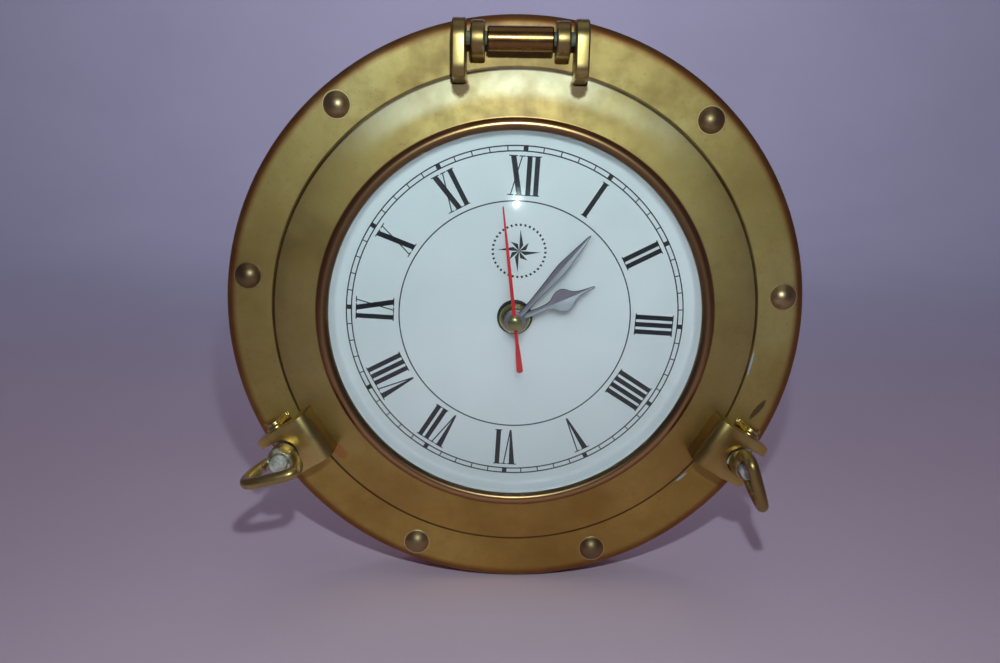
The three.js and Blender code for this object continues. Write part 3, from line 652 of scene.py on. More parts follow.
FLANGE_BRASS = flange_brass()
DOOR_BRASS = door_brass()
HINGE_BRASS = hinge_brass()
FORK_BRASS = fork_brass()
LUG_BRASS = brass("lug_brass", (0.82, 0.66, 0.25), (0.66, 0.49, 0.165), (0.42, 0.28, 0.083), 0.29)
DARK_BRASS = brass("dark_brass", (0.50, 0.355, 0.17), (0.38, 0.255, 0.12), (0.24, 0.15, 0.07), 0.42)
SLEEVE_BRASS = brass("sleeve_brass", (0.60, 0.41, 0.16), (0.43, 0.26, 0.09), (0.27, 0.135, 0.04), 0.25)
BRIGHT_BRASS = brass("bright_brass", (0.92, 0.80, 0.42), (0.82, 0.66, 0.30), (0.55, 0.38, 0.15), 0.38)
OLIVE_BRASS = brass("olive_brass", (0.56, 0.50, 0.22), (0.42, 0.36, 0.14), (0.25, 0.19, 0.06), 0.24)


def plain(name, low, high, rough, scale=60, bump=0.05, metallic=0.0):
    """A quiet material whose colour drifts between two tones."""
    p = Paint(name)
    drift = p.noise(scale, 4)
    p.bump(p.noise(scale * 12, 3), bump)
    return p.set(
        Base_Color=p.ramp(drift, (0.3, low), (0.7, high)),
        Roughness=p.span(drift, 0.2, 0.8, rough - 0.05, rough + 0.05),
        Metallic=metallic,
    )


STEEL = plain("steel", (0.45, 0.45, 0.44), (0.62, 0.62, 0.60), 0.35, 300, 0.1, 1.0)
HAND_STEEL = plain("hand_steel", (0.44, 0.445, 0.46), (0.50, 0.505, 0.52), 0.3, 30, 0.01, 1.0)
INK = plain("ink", (0.004, 0.005, 0.007), (0.008, 0.009, 0.011), 0.7, 200)
VERDIGRIS = plain("verdigris", (0.07, 0.07, 0.045), (0.30, 0.32, 0.23), 0.75, 420, 0.5, 0.2)
RED = plain("red_paint", (0.55, 0.004, 0.005), (0.66, 0.008, 0.010), 0.45, 200)
# The dark sheet under each hand's edge: a painted shadow.
HAND_SHADOW_PAINT = plain("painted_hand_shadow", (0.05, 0.052, 0.058), (0.08, 0.082, 0.09), 0.45, 60, 0.01, 0.6)
BLACK_PLASTIC = plain("black_plastic", (0.012, 0.012, 0.013), (0.02, 0.02, 0.021), 0.5, 300, 0.2)
WHITE_PLASTIC = plain("white_plastic", (0.68, 0.67, 0.62), (0.76, 0.75, 0.70), 0.45, 200, 0.1)
RUBBER = plain("rubber", (0.01, 0.01, 0.01), (0.02, 0.02, 0.02), 0.8, 300, 0.2)
FIBRE = plain("fibre_board", (0.20, 0.125, 0.07), (0.29, 0.185, 0.105), 0.75, 160, 0.3)


def enamel():
    """The dial's white enamel, with painted shade that dims it high up and greys the pan's wall where it
    turns up.
    """
    p = Paint("enamel")
    drift = p.noise(30, 4)
    high = p.ramp(drift, (0.3, (0.73, 0.745, 0.735)), (0.7, (0.77, 0.78, 0.77)))
    low = p.ramp(drift, (0.3, (0.83, 0.82, 0.81)), (0.7, (0.88, 0.87, 0.86)))
    # Dimmer high up on the dial: painted shade.
    face = p.mix(p.span(p.axes()[2], -0.05, 0.06), low, high)
    # Greyer on the pan's wall where it turns up: painted shade.
    wall = p.span(p.radius(), 0.0702, 0.0722)
    p.bump(p.noise(360, 3), 0.02)
    colour = p.mix(wall, face, (0.70, 0.69, 0.70))
    return p.set(Base_Color=colour, Roughness=p.span(drift, 0.2, 0.8, 0.45, 0.52))


def clear_glass():
    """Clear glass that lets half of the lamps' light through to the dial."""
    p = Paint("clear_glass")
    smear = p.noise(14, 3)
    p.set(
        Base_Color=p.ramp(smear, (0.3, (0.96, 0.985, 0.98)), (0.7, (1.0, 1.0, 1.0))),
        Roughness=p.span(smear, 0.3, 0.7, 0.0, 0.02),
        Transmission_Weight=1.0,
        IOR=1.45,
        Coat_Weight=0.05,
        Coat_Roughness=0.12,
    )
    path = p.node("ShaderNodeLightPath")
    clear = p.node("ShaderNodeBsdfTransparent")
    clear.inputs["Color"].default_value = (0.5, 0.5, 0.5, 1)
    pane = p.node("ShaderNodeMixShader")
    p.link(path.outputs["Is Shadow Ray"], pane.inputs[0])
    p.link(p.shader.outputs[0], pane.inputs[1])
    p.link(clear.outputs[0], pane.inputs[2])
    p.link(pane.outputs[0], p.tree.nodes["Material Output"].inputs["Surface"])
    return p.material


def cell_sleeve():
    """The battery's printed sleeve: dark, with a gold end."""
    p = Paint("cell_sleeve")
    x = p.axes()[0]
    drift = p.noise(90, 3)
    dark = p.ramp(drift, (0.3, (0.012, 0.016, 0.025)), (0.7, (0.02, 0.028, 0.04)))
    pale = p.ramp(drift, (0.3, (0.42, 0.33, 0.14)), (0.7, (0.50, 0.40, 0.18)))
    colour = p.mix(p.math("GREATER_THAN", x, 0.008), dark, pale)
    return p.set(Base_Color=colour, Roughness=p.span(drift, 0.3, 0.7, 0.28, 0.36), Metallic=0.3)


def nut_brass(side, angle, bloom):
    """A stirrup nut's brass, with a bloom round its own bolt."""
    x, y, _ = placed([(0, DOG_RHO, 0)], angle)[0]
    tones = ((0.60, 0.455, 0.17), (0.45, 0.32, 0.11), (0.28, 0.175, 0.055))
    return brass(f"{side}_nut_brass", *tones, 0.37, bloom, (x / 1000, y / 1000))


ENAMEL = enamel()
GLASS = clear_glass()
CELL = cell_sleeve()
NUT_BRASS = {"left": nut_brass("left", -DOG_ANGLE, 0.9), "right": nut_brass("right", DOG_ANGLE, 0.2)}
COPPER_WIRE = plain("copper_wire", (0.36, 0.11, 0.05), (0.48, 0.17, 0.08), 0.35, 500, 0.4, 1.0)
LAMINATE = plain("laminate", (0.01, 0.07, 0.03), (0.02, 0.11, 0.05), 0.45, 200, 0.1)
ZINC = plain("corroded_zinc", (0.30, 0.27, 0.21), (0.86, 0.83, 0.74), 0.6, 420, 0.5, 0.3)
WORN_STEEL = plain("worn_steel", (0.34, 0.33, 0.29), (0.84, 0.82, 0.76), 0.42, 350, 0.3, 0.7)


# ---- flange and its fittings ----
def flange():
    """The flange's plate and skirt, with the ledge that the dial pan rests on."""
    plate_back = FLANGE_FACE - 5
    ledge = DIAL_FACE - 1.1
    inner = FLANGE_R - SKIRT_WALL
    rim = 3.2
    profile = [
        (inner, 0.3),
        (inner + 0.3, 0),
        (FLANGE_R - 0.5, 0),
        (FLANGE_R, 0.5),
        *arc(FLANGE_R - rim, FLANGE_FACE - rim, rim, 0, 90, 10),
        (BORE_R + 0.3, FLANGE_FACE),
        (BORE_R, FLANGE_FACE - 0.3),
        (BORE_R, ledge),
        (LEDGE_R, ledge),
        (LEDGE_R, ledge - 3),
        (BORE_R + 3.5, ledge - 3),
        (BORE_R + 3.5, plate_back),
        (inner, plate_back),
    ]
    finished(turned("flange_body", profile), "base", FLANGE_BRASS, "base_flange")


def rivets():
    """Domed rivets, each in a thin bright burr of its hole."""
    height, r = 3.1, 5.0
    cap = (r * r + height * height) / (2 * height)
    rim = math.degrees(math.asin((r - 0.15) / cap))
    low = FLANGE_FACE + 0.05
    for i, angle in enumerate(RIVET_ANGLES, 1):
        dome = arc(0, low + height - cap, cap, 90 - rim, 90, 12)
        dome[-1] = (0, dome[-1][1])
        profile = [(0, low - 2), (r, low - 2), (r, low + 0.15), *dome]
        station = (angle + RIVET_TURN, RIVET_CIRCLE_R)
        head = turned(f"rivet_head_{i}", profile, 48, station)
        finished(head, "base", DARK_BRASS, f"rivet_{i}")
        inner, outer, high = r + 0.1, r + 0.5, FLANGE_FACE + 0.16
        edge = [
            (inner, low - 1),
            (outer, low - 1),
            (outer, high - 0.1),
            (outer - 0.12, high),
            (inner, high),
        ]
        burr = turned(f"rivet_burr_{i}", edge, 64, station)
        finished(burr, "base", BRIGHT_BRASS)


def lug(name, outline, mid):
    """One lug of the hinge, its middle a distance along the rim, with rounded edges."""
    piece = prism(name, outline, mid - LUG_WIDTH / 2, mid + LUG_WIDTH / 2, across)
    return bevelled(piece, 0.7)


def rod_across(name, profile, segments, rho=HINGE_RHO, height=HINGE_HEIGHT):
    """A turned piece whose axis runs along the rim."""
    piece = turned(name, profile, segments)
    moved(piece, lambda x, y, z: (z, y + rho, x + height))
    tidy_normals(piece)
    return piece


def hinge():
    """The fixed knuckles, the door's lugs outside them, and the sleeve and pin between."""
    knuckle = [
        (HINGE_RHO - KNUCKLE_R - 2.4, FLANGE_FACE - 0.5),
        (HINGE_RHO + KNUCKLE_R + 0.4, FLANGE_FACE - 0.5),
        *arc(HINGE_RHO, HINGE_HEIGHT, KNUCKLE_R, 0, 180, 24),
        (HINGE_RHO - KNUCKLE_R - 0.3, FLANGE_FACE + 3.0),
        (HINGE_RHO - KNUCKLE_R - 1.1, FLANGE_FACE + 1.0),
    ]
    front = HINGE_HEIGHT + DOOR_LUG_R
    inner_side = [(98, front), (94.4, front - 0.3), (92.0, 38.4), (91.0, 35.2), (90.4, 31), (89.6, 27.6)]
    door_lug = [
        (89.6, DOOR_BACK + 1.4),
        (94.6, DOOR_BACK + 0.2),
        *arc(HINGE_RHO, HINGE_HEIGHT, DOOR_LUG_R, -98, 90, 30),
        *smooth_line(inner_side, 5),
    ]
    for side, sign in (("left", -1), ("right", 1)):
        piece = lug(f"hinge_knuckle_{side}", knuckle, sign * KNUCKLE_MID)
        finished(piece, "base", HINGE_BRASS, f"base_knuckle_{side}")
        piece = lug(f"hinge_lug_{side}", door_lug, sign * DOOR_LUG_MID)
        finished(piece, "door", HINGE_BRASS, f"door_hinge_lug_{side}")
    half = KNUCKLE_MID - LUG_WIDTH / 2 - 0.9
    barrel = [(0, -half), (3.9, -half), (4.4, -half + 0.5), (4.4, half - 0.5), (3.9, half), (0, half)]
    finished(rod_across("hinge_sleeve", barrel, 64), "base", SLEEVE_BRASS, "hinge_barrel")
    half = DOOR_LUG_MID + LUG_WIDTH / 2 - 0.2
    pin = [(0, -half), (PIN_R, -half), (PIN_R, half), (0, half)]
    finished(rod_across("hinge_rod", pin, 32), "base", VERDIGRIS, "hinge_pin")


# ---- door ----
def door():
    """The door's ring: a flat face that rises to a round bead, with a seat for the glass."""
    bead = [(75.4 + 2.4 * c, 28.3 + 2.3 * s) for c, s in arc(0, 0, 1, 0, 180, 20)]
    edge, seat_r, recess_r, seat = 1.3, 77.4, 83, 26.0
    profile = [
        (DOOR_R - 0.2, DOOR_BACK),
        (DOOR_R, DOOR_BACK + 0.2),
        *arc(DOOR_R - edge, DOOR_BACK + 0.15, edge, 0, 80, 8),
        (90.5, 26.55),
        (86.5, 27.2),
        (82.0, 27.85),
        (78.6, 28.2),
        *bead,
        (73.0, 28.2),
        (seat_r, 28.2),
        (seat_r, seat),
        (recess_r, seat),
        (recess_r, DOOR_BACK),
    ]
    finished(turned("door_bezel", profile), "door", DOOR_BRASS, "door_ring")


def glass():
    """A domed glass of even thickness with a flat rim."""
    dome_r, rise, base, thick = 72.4, 13.5, 28.0, 2.0
    r = (dome_r**2 + rise**2) / (2 * rise)
    centre = base + rise - r
    spread = math.degrees(math.asin(dome_r / r))
    inner_spread = math.degrees(math.acos((base - thick - centre) / (r - thick)))
    outer = arc(0, centre, r, 90 - spread, 90, 28)
    inner = arc(0, centre, r - thick, 90, 90 - inner_spread, 28)
    outer[-1] = (0, outer[-1][1])
    inner[0] = (0, inner[0][1])
    profile = [*inner, (77.0, base - thick), (77.0, base), *outer]
    finished(turned("domed_glass", profile, 128, sharp=15), "door", GLASS, "glass_dome")


# ---- dial ----
def pan():
    """The dial's pan: a flat face, a round corner and a wall that flares to a rolled lip."""
    turn_r = 1.9
    bend = [math.radians(a) for a in (75, 55, 35, 15, 0)]
    corner = [(70.2 + turn_r * math.sin(a), DIAL_FACE + turn_r * (1 - math.cos(a))) for a in bend]
    profile = [
        (0, DIAL_FACE - 0.8),
        (70.8, DIAL_FACE - 0.8),
        (72.6, DIAL_FACE + 0.2),
        (74.4, 25.4),
        (74.0, 25.6),
        (73.6, 25.4),
        (72.4, DIAL_FACE + 2.6),
        *corner,
        (0, DIAL_FACE),
    ]
    finished(turned("enamel_pan", profile), "base", ENAMEL, "dial_pan")


def printed(name, outlines):
    """Flat dial print: outlines on the dial's face, a hair thick, in the turned dial frame."""
    points, faces = [], []
    for outline in outlines:
        start, n = len(points), len(outline)
        for z in (PRINT_BACK, PRINT_FACE):
            points += placed([(x, y, z) for x, y in outline], DIAL_TURN)
        faces += [tuple(start + i for i in face) for face in end_caps(2, n) + skin(2, n)]
    return finished(mesh_object(name, points, faces), "base", INK)


def ring_line(name, radius):
    """A printed circle."""
    inner, outer = radius - RING_LINE / 2, radius + RING_LINE / 2
    profile = [(inner, PRINT_BACK), (outer, PRINT_BACK), (outer, PRINT_FACE), (inner, PRINT_FACE)]
    finished(turned(name, profile, 256), "base", INK)


def bar(x0, x1, y0, y1, lean=0.0):
    """A stroke from y0 to y1, its top shifted sideways by lean."""
    return [(x0, y0), (x1, y0), (x1 + lean, y1), (x0 + lean, y1)]


def letter(kind, x):
    """One Roman letter's strokes, from its left edge at x."""
    low, high = NUMERAL_FOOT, NUMERAL_TOP
    foot, head = low + SERIF, high - SERIF
    if kind == "I":
        left = x + (LETTER_WIDTH["I"] - THICK) / 2
        return [
            bar(left, left + THICK, low, high),
            bar(x + 0.05, x + 2.95, low, foot),
            bar(x + 0.05, x + 2.95, head, high),
        ]
    if kind == "V":
        return [
            [(x + 2.9, low), (x + 3.5, low), (x + 3.1, high), (x + 0.8, high)],
            [(x + 3.1, low), (x + 3.6, low), (x + 5.6, high), (x + 5.1, high)],
            bar(x + 0.1, x + 3.8, head, high),
            bar(x + 4.2, x + 6.5, head, high),
        ]
    return [
        [(x + 3.8, low), (x + 5.9, low), (x + 2.8, high), (x + 0.7, high)],
        [(x + 1.2, low), (x + 1.65, low), (x + 5.4, high), (x + 4.95, high)],
        bar(x + 0.1, x + 3.5, head, high),
        bar(x + 4.0, x + 6.4, head, high),
        bar(x + 0.2, x + 2.6, low, foot),
        bar(x + 3.1, x + 6.5, low, foot),
    ]


def numerals():
    """The twelve numerals, each turned to face its own hour."""
    for hour, word in enumerate(NUMERALS):
        x = -sum(LETTER_WIDTH[kind] for kind in word) / 2
        strokes = []
        for kind in word:
            strokes += letter(kind, x)
            x += LETTER_WIDTH[kind]
        printed(f"numeral_{hour or 12}", [rotated(o, hour * 30) for o in strokes])


def minute_track():
    """Two circles with a tick for each minute, bold at the hours, and the chapter circle."""
    ring_line("track_inner", TRACK_IN)
    ring_line("track_outer", TRACK_OUT)
    ring_line("chapter_circle", CHAPTER_R)
    bold, thin = 0.92, 0.21
    ticks = []
    for minute in range(60):
        half = bold if minute % 5 == 0 else thin
        ticks.append(rotated(bar(-half, half, TRACK_IN, TRACK_OUT), minute * 6))
    printed("minute_ticks", ticks)


def compass_rose():
    """A generic eight-point compass rose in a ring of rope strands."""
    rose = []
    for point in range(8):
        reach = 8.6 if point % 2 == 0 else 5.0
        half_point = rotated([(0, 0), (1.5, 2.4), (0, reach)], point * 45)
        rose.append([(x, y + ROSE_Y) for x, y in half_point])
    printed("compass_rose", rose)
    band = []
    for i in range(36):
        strand = rotated([(-0.28, 9.8), (0.5, 9.9), (0.28, 10.8), (-0.5, 10.7)], i * 10)
        band.append([(x, y + ROSE_Y) for x, y in strand])
    printed("rope_ring", band)


# ---- hands ----
def pressed_hand(name, side, low, angle, hollow, boss, body):
    """A pressed hand, hollow along its middle so that its two halves face each other."""
    points = []
    rows = smooth_line(side, 4)
    widest = max(half for half, y in rows)
    valley = low + HAND_EDGE
    for half, y in rows:
        top = valley + hollow * half / widest
        points += [(-half, y, low), (half, y, low), (half, y, top), (0, y, valley), (-half, y, top)]
    faces = skin(len(rows), 5) + end_caps(len(rows), 5)
    blade = mesh_object(f"{name}_blade", placed(points, angle + DIAL_TURN), faces, 8)
    collar = turned(f"{name}_boss", [(r, low + z) for r, z in boss], 64)
    hand = combined(name, [blade, collar], 8)
    return finished(hand, body, HAND_STEEL, f"{body}_hand")


def hand_shadow_rim(name, side, low, angle, body):
    """A dark sheet a hair wider than a pressed hand and under it: a painted shadow round the hand's
    edge.
    """
    grown = [(half + HAND_SHADOW_WIDTH, y) for half, y in smooth_line(side, 4)]
    tip = (0, grown[-1][1] + 2 * HAND_SHADOW_WIDTH)
    outline = grown + [tip] + [(-half, y) for half, y in reversed(grown)]
    rim = prism(name, rotated(outline, angle + DIAL_TURN), low - 0.06, low + 0.05, flat)
    return finished(rim, body, HAND_SHADOW_PAINT)


def hour_hand():
    """A short hand with a spade near its tip."""
    boss = [(2.7, 0), (4.4, 0), (4.4, 0.45), (3.9, 0.75), (2.9, 0.75), (2.7, 0.5)]
    hand_shadow_rim("hour_shadow_rim", HOUR_SIDE, HOUR_HEIGHT, HOUR_AT, "hour")
    pressed_hand("hour_pointer", HOUR_SIDE, HOUR_HEIGHT, HOUR_AT, 0.8, boss, "hour")


def minute_hand():
    """A long leaf-shaped hand."""
    boss = [(1.2, 0), (3.6, 0), (3.6, 0.4), (3.2, 0.7), (1.4, 0.7), (1.2, 0.5)]
    hand_shadow_rim("minute_shadow_rim", MINUTE_SIDE, MINUTE_HEIGHT, MINUTE_AT, "minute")
    pressed_hand("minute_pointer", MINUTE_SIDE, MINUTE_HEIGHT, MINUTE_AT, 0.55, boss, "minute")


def second_hand():
    """A thin red hand with a round counterweight, under the hands' brass cap."""
    low = SECOND_HEIGHT
    weight = arc(0, -18.8, 1.4, 205, 335, 10)
    outline = weight + SECOND_SIDE + [(-x, y) for x, y in reversed(SECOND_SIDE)]
    blade = prism("second_blade", outline, low, low + 0.42, flat)
    moved(blade, to_station(SECOND_AT + DIAL_TURN))
    hub = [(0.9, low - 0.6), (2.2, low - 0.6), (2.2, low + 0.5), (0.9, low + 0.5)]
    pointer = combined("second_pointer", [blade, turned("second_boss", hub, 48)], 30)
    finished(pointer, "seconds", RED, "second_hand")


def centre_fittings():
    """The cap on the hands, the nut that holds the dial to the movement, and its washer."""
    low = SECOND_HEIGHT + 0.6
    crown = [(2.8, 0.5), (2.55, 0.8), (2.1, 1.1), (1.4, 1.32), (0.7, 1.42), (0, 1.45)]
    cap = [(r, low + z) for r, z in [(0, 0), (2.7, 0), (2.8, 0.15), *crown]]
    finished(turned("pointer_cap", cap, 64), "seconds", OLIVE_BRASS, "hand_cap")
    low = DIAL_FACE + 1
    collar = [(5.6, 2.5), (4.9, 2.6), (4.9, 3.3), (4.75, 3.45), (4.3, 3.45)]
    nut = [(r, low + z) for r, z in [(4.3, 0), (6.0, 0), (6.1, 0.2), (6.1, 1.9), *collar]]
    finished(turned("centre_nut", nut, 96), "base", OLIVE_BRASS, "mounting_nut")
    low, high = DIAL_FACE + 0.1, DIAL_FACE + 0.9
    washer = [(4.4, low), (7, low), (7, high - 0.15), (6.8, high), (4.4, high)]
    finished(turned("soft_washer", washer, 64), "base", RUBBER, "dial_washer")


# ---- dogs ----
def moved_to_station(obj, angle, rho):
    """Takes a piece drawn about a station's axis out to that station."""
    moved(obj, to_station(angle, rho))
    tidy_normals(obj)
    return obj


def fork(side, angle):
    """The door's cast fork: a foot, a wall and a notched plate, with softened edges."""
    under, inner, web, outer = FORK_FACE - 4.5, 88.8, 94.2, 112.4
    bend, lip, nose = 5.5, 1.7, 2.7
    wall = [
        (inner, 25.6),
        (web, 24.8),
        (web, under - 2.6),
        (web + 0.8, under - 1.0),
        (web + 2.4, under),
        *arc(outer - lip, under + lip, lip, 270, 360, 6),
        *arc(outer - nose, FORK_FACE - nose, nose, 0, 90, 8),
        *arc(inner + bend, FORK_FACE - bend, bend, 90, 180, 14),
    ]
    outline = [(r - DOG_RHO, z) for r, z in wall]
    body = prism(f"fork_body_{side}", outline, -FORK_HALF, FORK_HALF, across)
    corner, end, back = 3.4, outer - DOG_RHO, inner - DOG_RHO - 1
    right = [
        (NOTCH_R, end),
        *arc(FORK_HALF - corner, end - corner, corner, 90, 0, 8),
        (FORK_HALF, back),
    ]
    left = [(-x, y) for x, y in reversed(right)]
    plan = left + arc(0, 0, NOTCH_R, 180, 360, 24) + right
    piece = less(body, prism(f"fork_plan_{side}", plan, 20, 45, flat), "INTERSECT")
    bevelled(piece, 0.8)
    piece.name = f"fork_{side}"
    moved_to_station(piece, angle, DOG_RHO)
    finished(piece, "door", FORK_BRASS, f"fork_lug_{side}")


def bracket(side, angle):
    """A cast pad with two ears, each a little smaller on its outside, and the cross pin."""
    foot, half = FLANGE_FACE + 0.1, 5.8
    ear = [
        (-half, foot),
        (half, foot),
        (half - 0.2, foot + 1.0),
        *arc(0, DOG_PIVOT, EAR_R, 8, 172, 18),
        (0.2 - half, foot + 1.0),
    ]
    # Each layer of an ear: its share of the full outline, and where it starts and ends.
    ear_layers = ((1.0, 5.5, EAR_OUTSIDE - 1.6), (0.82, EAR_OUTSIDE - 2.6, EAR_OUTSIDE))
    ears = []
    for sign in (-1, 1):
        for share, near, far in ear_layers:
            low, high = sorted((sign * near, sign * far))
            shape = [(u * share, foot + (w - foot) * share) for u, w in ear]
            ears.append(prism(f"ear_{side}_{sign}_{far}", shape, low, high, across))
    base = [(x * EAR_OUTSIDE, y * half) for x, y in ((-1, -1), (1, -1), (1, 1), (-1, 1))]
    ears.append(prism(f"pad_{side}", base, foot, foot + 0.9, flat))
    piece = cast(f"bracket_{side}", ears, 0.3)
    moved_to_station(piece, angle, DOG_RHO)
    finished(piece, "base", LUG_BRASS, f"dog_bracket_{side}")
    end = EAR_OUTSIDE + 0.15
    pin = [(0, -end), (1.6, -end), (1.8, 0.2 - end), (1.8, end - 0.2), (1.6, end), (0, end)]
    rod = rod_across(f"cross_pin_{side}", pin, 32, 0, DOG_PIVOT)
    moved_to_station(rod, angle, DOG_RHO)
    finished(rod, "base", DARK_BRASS, f"dog_pin_{side}")


def bolt(side, angle):
    """The swing bolt: a round eye and a shank with a real screw thread."""
    shank_r, low, top = 3.1, DOG_PIVOT + 3, 50.5
    pitch, depth, run_in = 1.0, 0.55, 1.5
    taper, taper_length = 0.5, 0.8
    steps, sides = 10, 48
    rows = int((top - low) / pitch * steps)
    points = []
    for i in range(rows + 1):
        z = low + (top - low) * i / rows
        full = min(1, (z - low) / run_in)
        tip = 1 - min(1, (top - z) / taper_length)
        for k in range(sides):
            a = 2 * math.pi * k / sides
            phase = (z / pitch - k / sides) % 1
            groove = depth * abs(2 * phase - 1)
            r = shank_r - groove * full - taper * tip
            points.append((r * math.sin(a), r * math.cos(a), z))
    faces = skin(rows + 1, sides) + end_caps(rows + 1, sides)
    shank = mesh_object(f"shank_{side}", points, faces, 25)
    eye = [(1.95, -5.0), (4.1, -5.0), (4.4, -4.7), (4.4, 4.7), (4.1, 5.0), (1.95, 5.0)]
    eye = rod_across(f"eye_{side}", eye, 48, 0, DOG_PIVOT)
    piece = combined(f"bolt_{side}", [shank, eye], 25)
    moved_to_station(piece, angle, DOG_RHO)
    material = ZINC if side == "left" else WORN_STEEL
    finished(piece, f"dog_{side}", material, f"swing_bolt_{side}")


def stirrup(side, angle):
    """The wing nut's hub and its stirrup, cast in one and smoothed at the roots."""
    low, hub_r, bore_r, wire_r = FORK_FACE + 0.3, 5.15, 3.35, 2.25
    hub = [(0, low), (hub_r, low), (hub_r, low + 5), (4.4, low + 7.8), (0, low + 7.8)]
    bore = [(0, low - 2), (bore_r, low - 2), (bore_r, low + 12), (0, low + 12)]
    half = [(3.4, 42.6), (6.6, 47.5), (9.1, 54), (9.7, 58.6), (8.4, 61.6), (4.5, 62.5)]
    path = [(0, -r, z) for r, z in half] + [(0, 0, 62.7)] + [(0, r, z) for r, z in reversed(half)]
    parts = [turned(f"hub_{side}", hub, 96), swept(f"wire_{side}", smooth_path(path, 6), wire_r, 24)]
    body = cast(f"nut_{side}", parts, 0.28)
    less(body, turned(f"bore_{side}", bore, 48))
    moved(body, to_station(NUT_TURN[side]))
    moved_to_station(body, angle, DOG_RHO)
    finished(body, f"nut_{side}", NUT_BRASS[side], f"stirrup_nut_{side}")


def dogs():
    """Both dogs: the door's fork, the flange's bracket, the swing bolt and its nut."""
    for side, angle in (("left", -DOG_ANGLE), ("right", DOG_ANGLE)):
        fork(side, angle)
        bracket(side, angle)
        bolt(side, angle)
        stirrup(side, angle)


# ---- back ----
def back():
    """The ring that holds the glass, and the back board's slotted screws."""
    retainer = [(75.2, 24.7), (82.3, 24.7), (82.6, 24.9), (82.6, 25.7), (82.4, 25.8), (75.2, 25.8)]
    finished(turned("glass_retainer", retainer), "door", LUG_BRASS, "glass_retaining_ring")
    for i, angle in enumerate(POST_ANGLES, 1):
        tip = FLANGE_FACE - 8
        profile = [(0, 0.3), (3.2, 0.3), (3.5, 0.5), (3.5, 1.2), (1.4, 1.9), (1.4, tip), (0, tip + 1)]
        screw = turned(f"slotted_screw_{i}", profile, 48)
        slot = rotated([(-4, -0.45), (4, -0.45), (4, 0.45), (-4, 0.45)], 25 + 47 * i)
        less(screw, prism(f"slot_tool_{i}", slot, -0.5, 0.95, flat))
        moved_to_station(screw, angle, POST_CIRCLE_R)
        finished(screw, "base", STEEL, f"back_screw_{i}")


def frame_materials():
    """Materials for the CAD nodes that stay as they are."""
    by_node = {
        "back_board": FIBRE,
        "hanger_plate": STEEL,
        "movement_case": BLACK_PLASTIC,
        "movement_cover": BLACK_PLASTIC,
        "battery": CELL,
        "contact_negative": STEEL,
        "contact_positive": STEEL,
        "minute_pinion": LUG_BRASS,
        "hour_wheel": WHITE_PLASTIC,
        "motion_wheel": WHITE_PLASTIC,
        "setting_knob": WHITE_PLASTIC,
        "seconds_wheel": WHITE_PLASTIC,
        "intermediate_wheel": WHITE_PLASTIC,
        "rotor": DARK_BRASS,
        "stator": STEEL,
        "coil": COPPER_WIRE,
        "circuit_board": LAMINATE,
    }
    for node, material in by_node.items():
        mesh = frame["nodes"][node].data
        mesh.materials.clear()
        mesh.materials.append(material)


flange()
rivets()
hinge()
door()
glass()
pan()
numerals()
minute_track()
compass_rose()
hour_hand()
minute_hand()
second_hand()
centre_fittings()
dogs()
back()
frame_materials()

# ---- camera, light and floor, in metres and degrees ----
CAMERA_PLACE = (-0.0062, -0.3672, 0.0866)
CAMERA_LENS = 32.17
CAMERA_DOWN = 15.0
CAMERA_HEADING = -0.076
CAMERA_ROLL = 0.869
FLOOR = -0.1146

# Disc lamps: name, place, what it faces, diameter in metres, power in watts, colour.
LAMPS = [
    ("flash", (0.0045, -0.344, 0.159), (0, 0, 0), 0.012, 0.61, (0.76, 0.95, 1.0)),
    ("backdrop_wash", (0, 0.85, 1.0), (0, 1.5, 0.35), 0.8, 6.9, (0.9, 0.95, 1.0)),
    ("overhead", (0, -0.15, 2.3), (0, -0.15, 0), 2.0, 3.0, (0.92, 0.97, 1.0)),
]
ROOM_COLOUR = (0.52, 0.49, 0.52, 1)
ROOM_STRENGTH = 0.045


def camera():
    """The camera, a little above the dial's middle and looking down at it."""
    data = bpy.data.cameras.new("camera")
    cam = bpy.data.objects.new("camera", data)
    bpy.context.scene.collection.objects.link(cam)
    data.sensor_width = 36
    data.lens = CAMERA_LENS
    data.clip_start = 0.01
    heading = Matrix.Rotation(math.radians(CAMERA_HEADING), 4, "Z")
    pitch = Matrix.Rotation(math.radians(90 - CAMERA_DOWN), 4, "X")
    roll = Matrix.Rotation(math.radians(CAMERA_ROLL), 4, "Z")
    cam.matrix_world = Matrix.Translation(CAMERA_PLACE) @ heading @ pitch @ roll
    bpy.context.scene.camera = cam


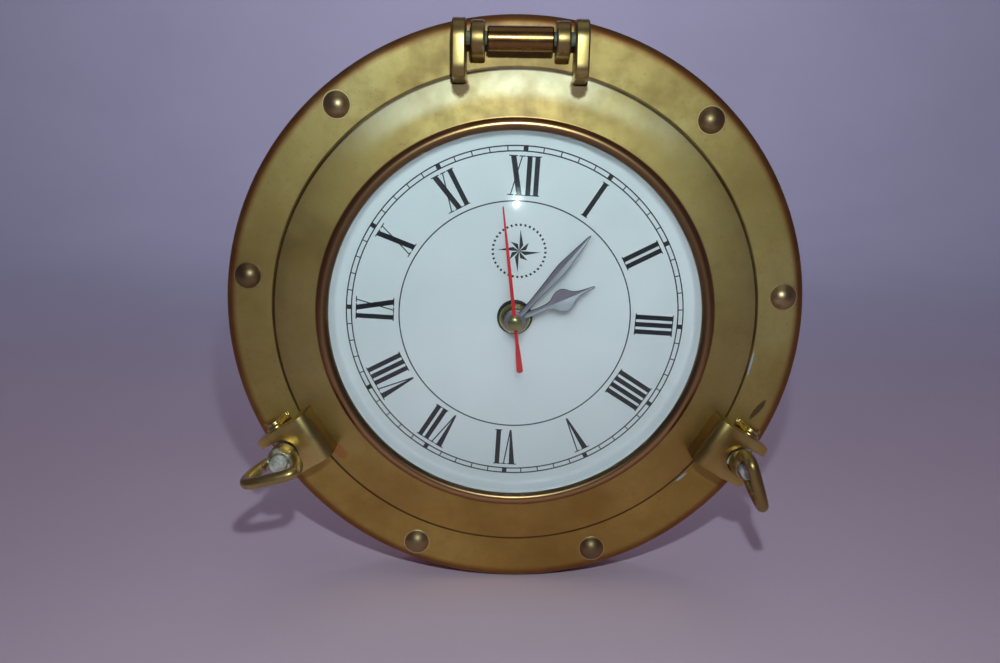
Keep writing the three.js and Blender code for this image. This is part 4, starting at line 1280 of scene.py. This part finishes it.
def lamp(name, place, target, size, power, colour):
    """One soft disc of light that faces a point."""
    data = bpy.data.lights.new(name, "AREA")
    data.shape = "DISK"
    data.size = size
    data.energy = power
    data.color = colour
    obj = bpy.data.objects.new(name, data)
    bpy.context.scene.collection.objects.link(obj)
    obj.location = place
    obj.rotation_euler = (Vector(target) - Vector(place)).to_track_quat("-Z", "Y").to_euler()


def lights():
    """The lamps, and a dim room round them."""
    for row in LAMPS:
        lamp(*row)
    world = bpy.data.worlds.new("room")
    bpy.context.scene.world = world
    world.use_nodes = True
    background = world.node_tree.nodes["Background"]
    background.inputs["Color"].default_value = ROOM_COLOUR
    background.inputs["Strength"].default_value = ROOM_STRENGTH


def sweep_paper():
    """Pale paper with a painted pool of light: paler and warmer near the clock than far in front of it
    or behind it.
    """
    p = Paint("sweep_paper")
    drift = p.noise(6, 4)
    far = p.ramp(drift, (0.3, (0.42, 0.385, 0.53)), (0.7, (0.45, 0.415, 0.56)))
    near = p.ramp(drift, (0.3, (0.80, 0.595, 0.69)), (0.7, (0.85, 0.63, 0.735)))
    # Paler and warmer near the clock than away from it: a painted pool of light.
    away = p.span(p.math("ABSOLUTE", p.math("ADD", p.axes()[1], 0.1)), 0.0, 0.65)
    p.bump(p.noise(70, 3), 0.02)
    return p.set(Base_Color=p.mix(away, near, far), Roughness=p.span(drift, 0.2, 0.8, 0.8, 0.9))


def floor():
    """A plain pale studio: a level floor that sweeps up into a wall all round, open above."""
    level, radius, height, sides = 0.9, 0.6, 2.6, 96
    bend = [math.radians(a) for a in range(0, 91, 6)]
    line = [(0.3, FLOOR)]
    line += [(level + radius * math.sin(a), FLOOR + radius * (1 - math.cos(a))) for a in bend]
    line.append((level + radius, FLOOR + height))
    turns = [2 * math.pi * i / sides for i in range(sides)]
    verts = [(r * math.sin(a), r * math.cos(a), z) for r, z in line for a in turns]
    mesh = bpy.data.meshes.new("sweep")
    mesh.from_pydata(verts, [], end_caps(len(line), sides)[:1] + skin(len(line), sides))
    obj = bpy.data.objects.new("sweep", mesh)
    bpy.context.scene.collection.objects.link(obj)
    mesh.shade_smooth()
    mesh.materials.append(sweep_paper())


camera()
lights()
floor()
bpy.context.scene.view_settings.view_transform = "Standard"
